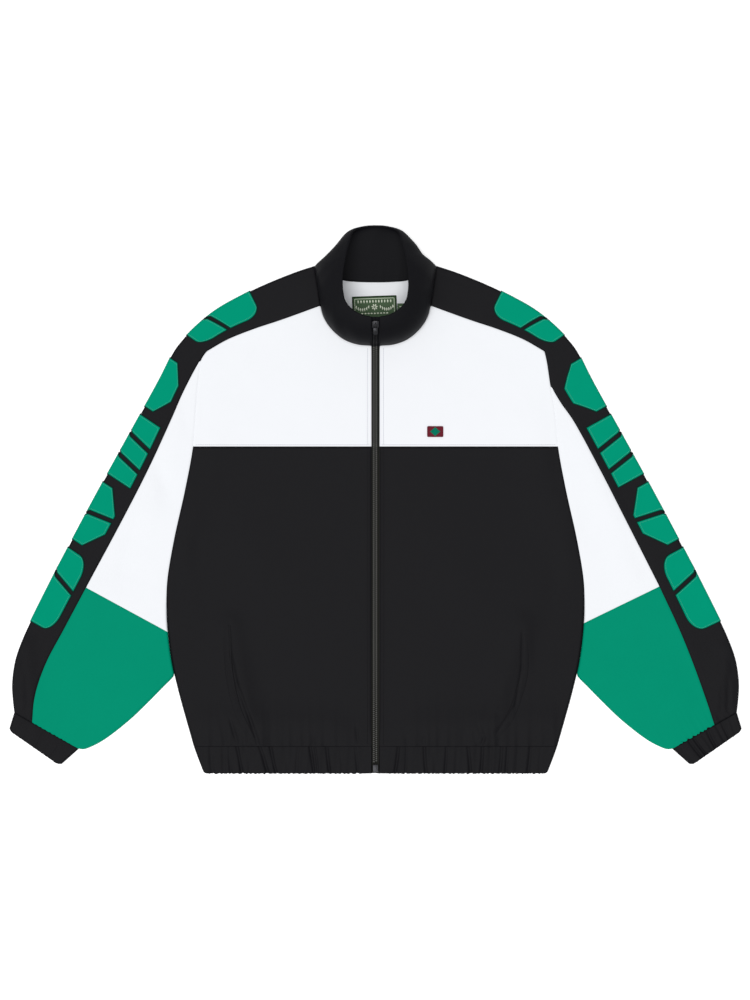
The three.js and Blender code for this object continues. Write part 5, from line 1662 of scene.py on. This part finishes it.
class JacketStage(bpy.types.PropertyGroup):
    """Light and camera."""

    world: bpy.props.FloatProperty(name="World", description="Strength of the sky", default=0.46, min=0)
    key: bpy.props.FloatProperty(name="Key", description="Strength of the key light", default=2.36, min=0)
    spread: bpy.props.FloatProperty(
        name="Key spread", description="How soft the key light is", default=math.radians(50),
        unit="ROTATION",
    )
    glow: bpy.props.FloatProperty(name="Glow", description="Light of the lit table", default=0.4, min=0)
    lens: bpy.props.FloatProperty(name="Lens", description="Focal length", default=150, unit="CAMERA")
    height: bpy.props.FloatProperty(
        name="Camera height", description="Above the surface", default=5.625, unit="LENGTH"
    )


class JACKET_OT_stage(bpy.types.Operator):
    """Surface, lights and camera of the photograph's view"""

    bl_idname = "jacket.stage"
    bl_label = "Stage"

    def execute(self, context):
        scene, settings = context.scene, context.scene.jacket_stage
        paint = Paint("pale surface", 0.9, specular=0.0)
        paint.colour((0.9, 0.9, 0.9, 1))
        paint.surface.inputs["Emission Color"].default_value = (1, 1, 1, 1)
        paint.surface.inputs["Emission Strength"].default_value = settings.glow
        corners = [(x * FLOOR["half"], y * FLOOR["half"], FLOOR["level"])
                   for x, y in ((-1, -1), (1, -1), (1, 1), (-1, 1))]
        floor = mesh_object("surface", corners, [(0, 1, 2, 3)], paint.material, smooth=False)
        world = bpy.data.worlds.new("studio")
        scene.world = world
        world.use_nodes = True
        sky = world.node_tree.nodes["Background"]
        sky.inputs["Color"].default_value = (0.97, 0.98, 1, 1)
        sky.inputs["Strength"].default_value = settings.world
        light = bpy.data.lights.new("key", "SUN")
        light.energy, light.angle = settings.key, settings.spread
        key = bpy.data.objects.new("key", light)
        key.location = SUN_PLACE
        key.rotation_euler = (-key.location).to_track_quat("-Z", "Y").to_euler()
        camera = bpy.data.objects.new("camera", bpy.data.cameras.new("camera"))
        camera.data.lens, camera.data.sensor_width = settings.lens, 36
        camera.location = (*CAMERA_PLACE, settings.height)
        for item in (key, camera):
            scene.collection.objects.link(item)
        scene.camera = camera
        scene.view_settings.view_transform = "Standard"
        scene.view_settings.look = "None"
        return {"FINISHED"}


class JACKET_PT_panel(bpy.types.Panel):
    """The jacket's groups, each with its settings."""

    bl_label = "Track jacket"
    bl_idname = "JACKET_PT_panel"
    bl_space_type = "VIEW_3D"
    bl_region_type = "UI"
    bl_category = "Jacket"

    def draw(self, context):
        for operator in OPERATORS:
            self.layout.operator(operator.bl_idname)
        for name, kind in GROUPS.items():
            for key in kind.__annotations__:
                self.layout.prop(getattr(context.scene, name), key)


OPERATORS = (JACKET_OT_body, JACKET_OT_sleeves, JACKET_OT_casings, JACKET_OT_zip, JACKET_OT_trims,
             JACKET_OT_stage)
GROUPS = {"jacket_colours": JacketColours, "jacket_sizes": JacketSizes, "jacket_stage": JacketStage}
CLASSES = (*GROUPS.values(), *OPERATORS, JACKET_PT_panel)


def register():
    for item in CLASSES:
        bpy.utils.register_class(item)
    for name, kind in GROUPS.items():
        setattr(bpy.types.Scene, name, bpy.props.PointerProperty(type=kind))


def unregister():
    for name in GROUPS:
        delattr(bpy.types.Scene, name)
    for item in reversed(CLASSES):
        bpy.utils.unregister_class(item)


def main():
    """Builds the jacket and its stage."""
    register()
    bpy.ops.jacket.body()
    bpy.ops.jacket.sleeves()
    bpy.ops.jacket.casings()
    bpy.ops.jacket.zip()
    bpy.ops.jacket.trims()
    bpy.ops.jacket.stage()
    bpy.context.view_layer.update()


if __name__ == "__main__":
    main()
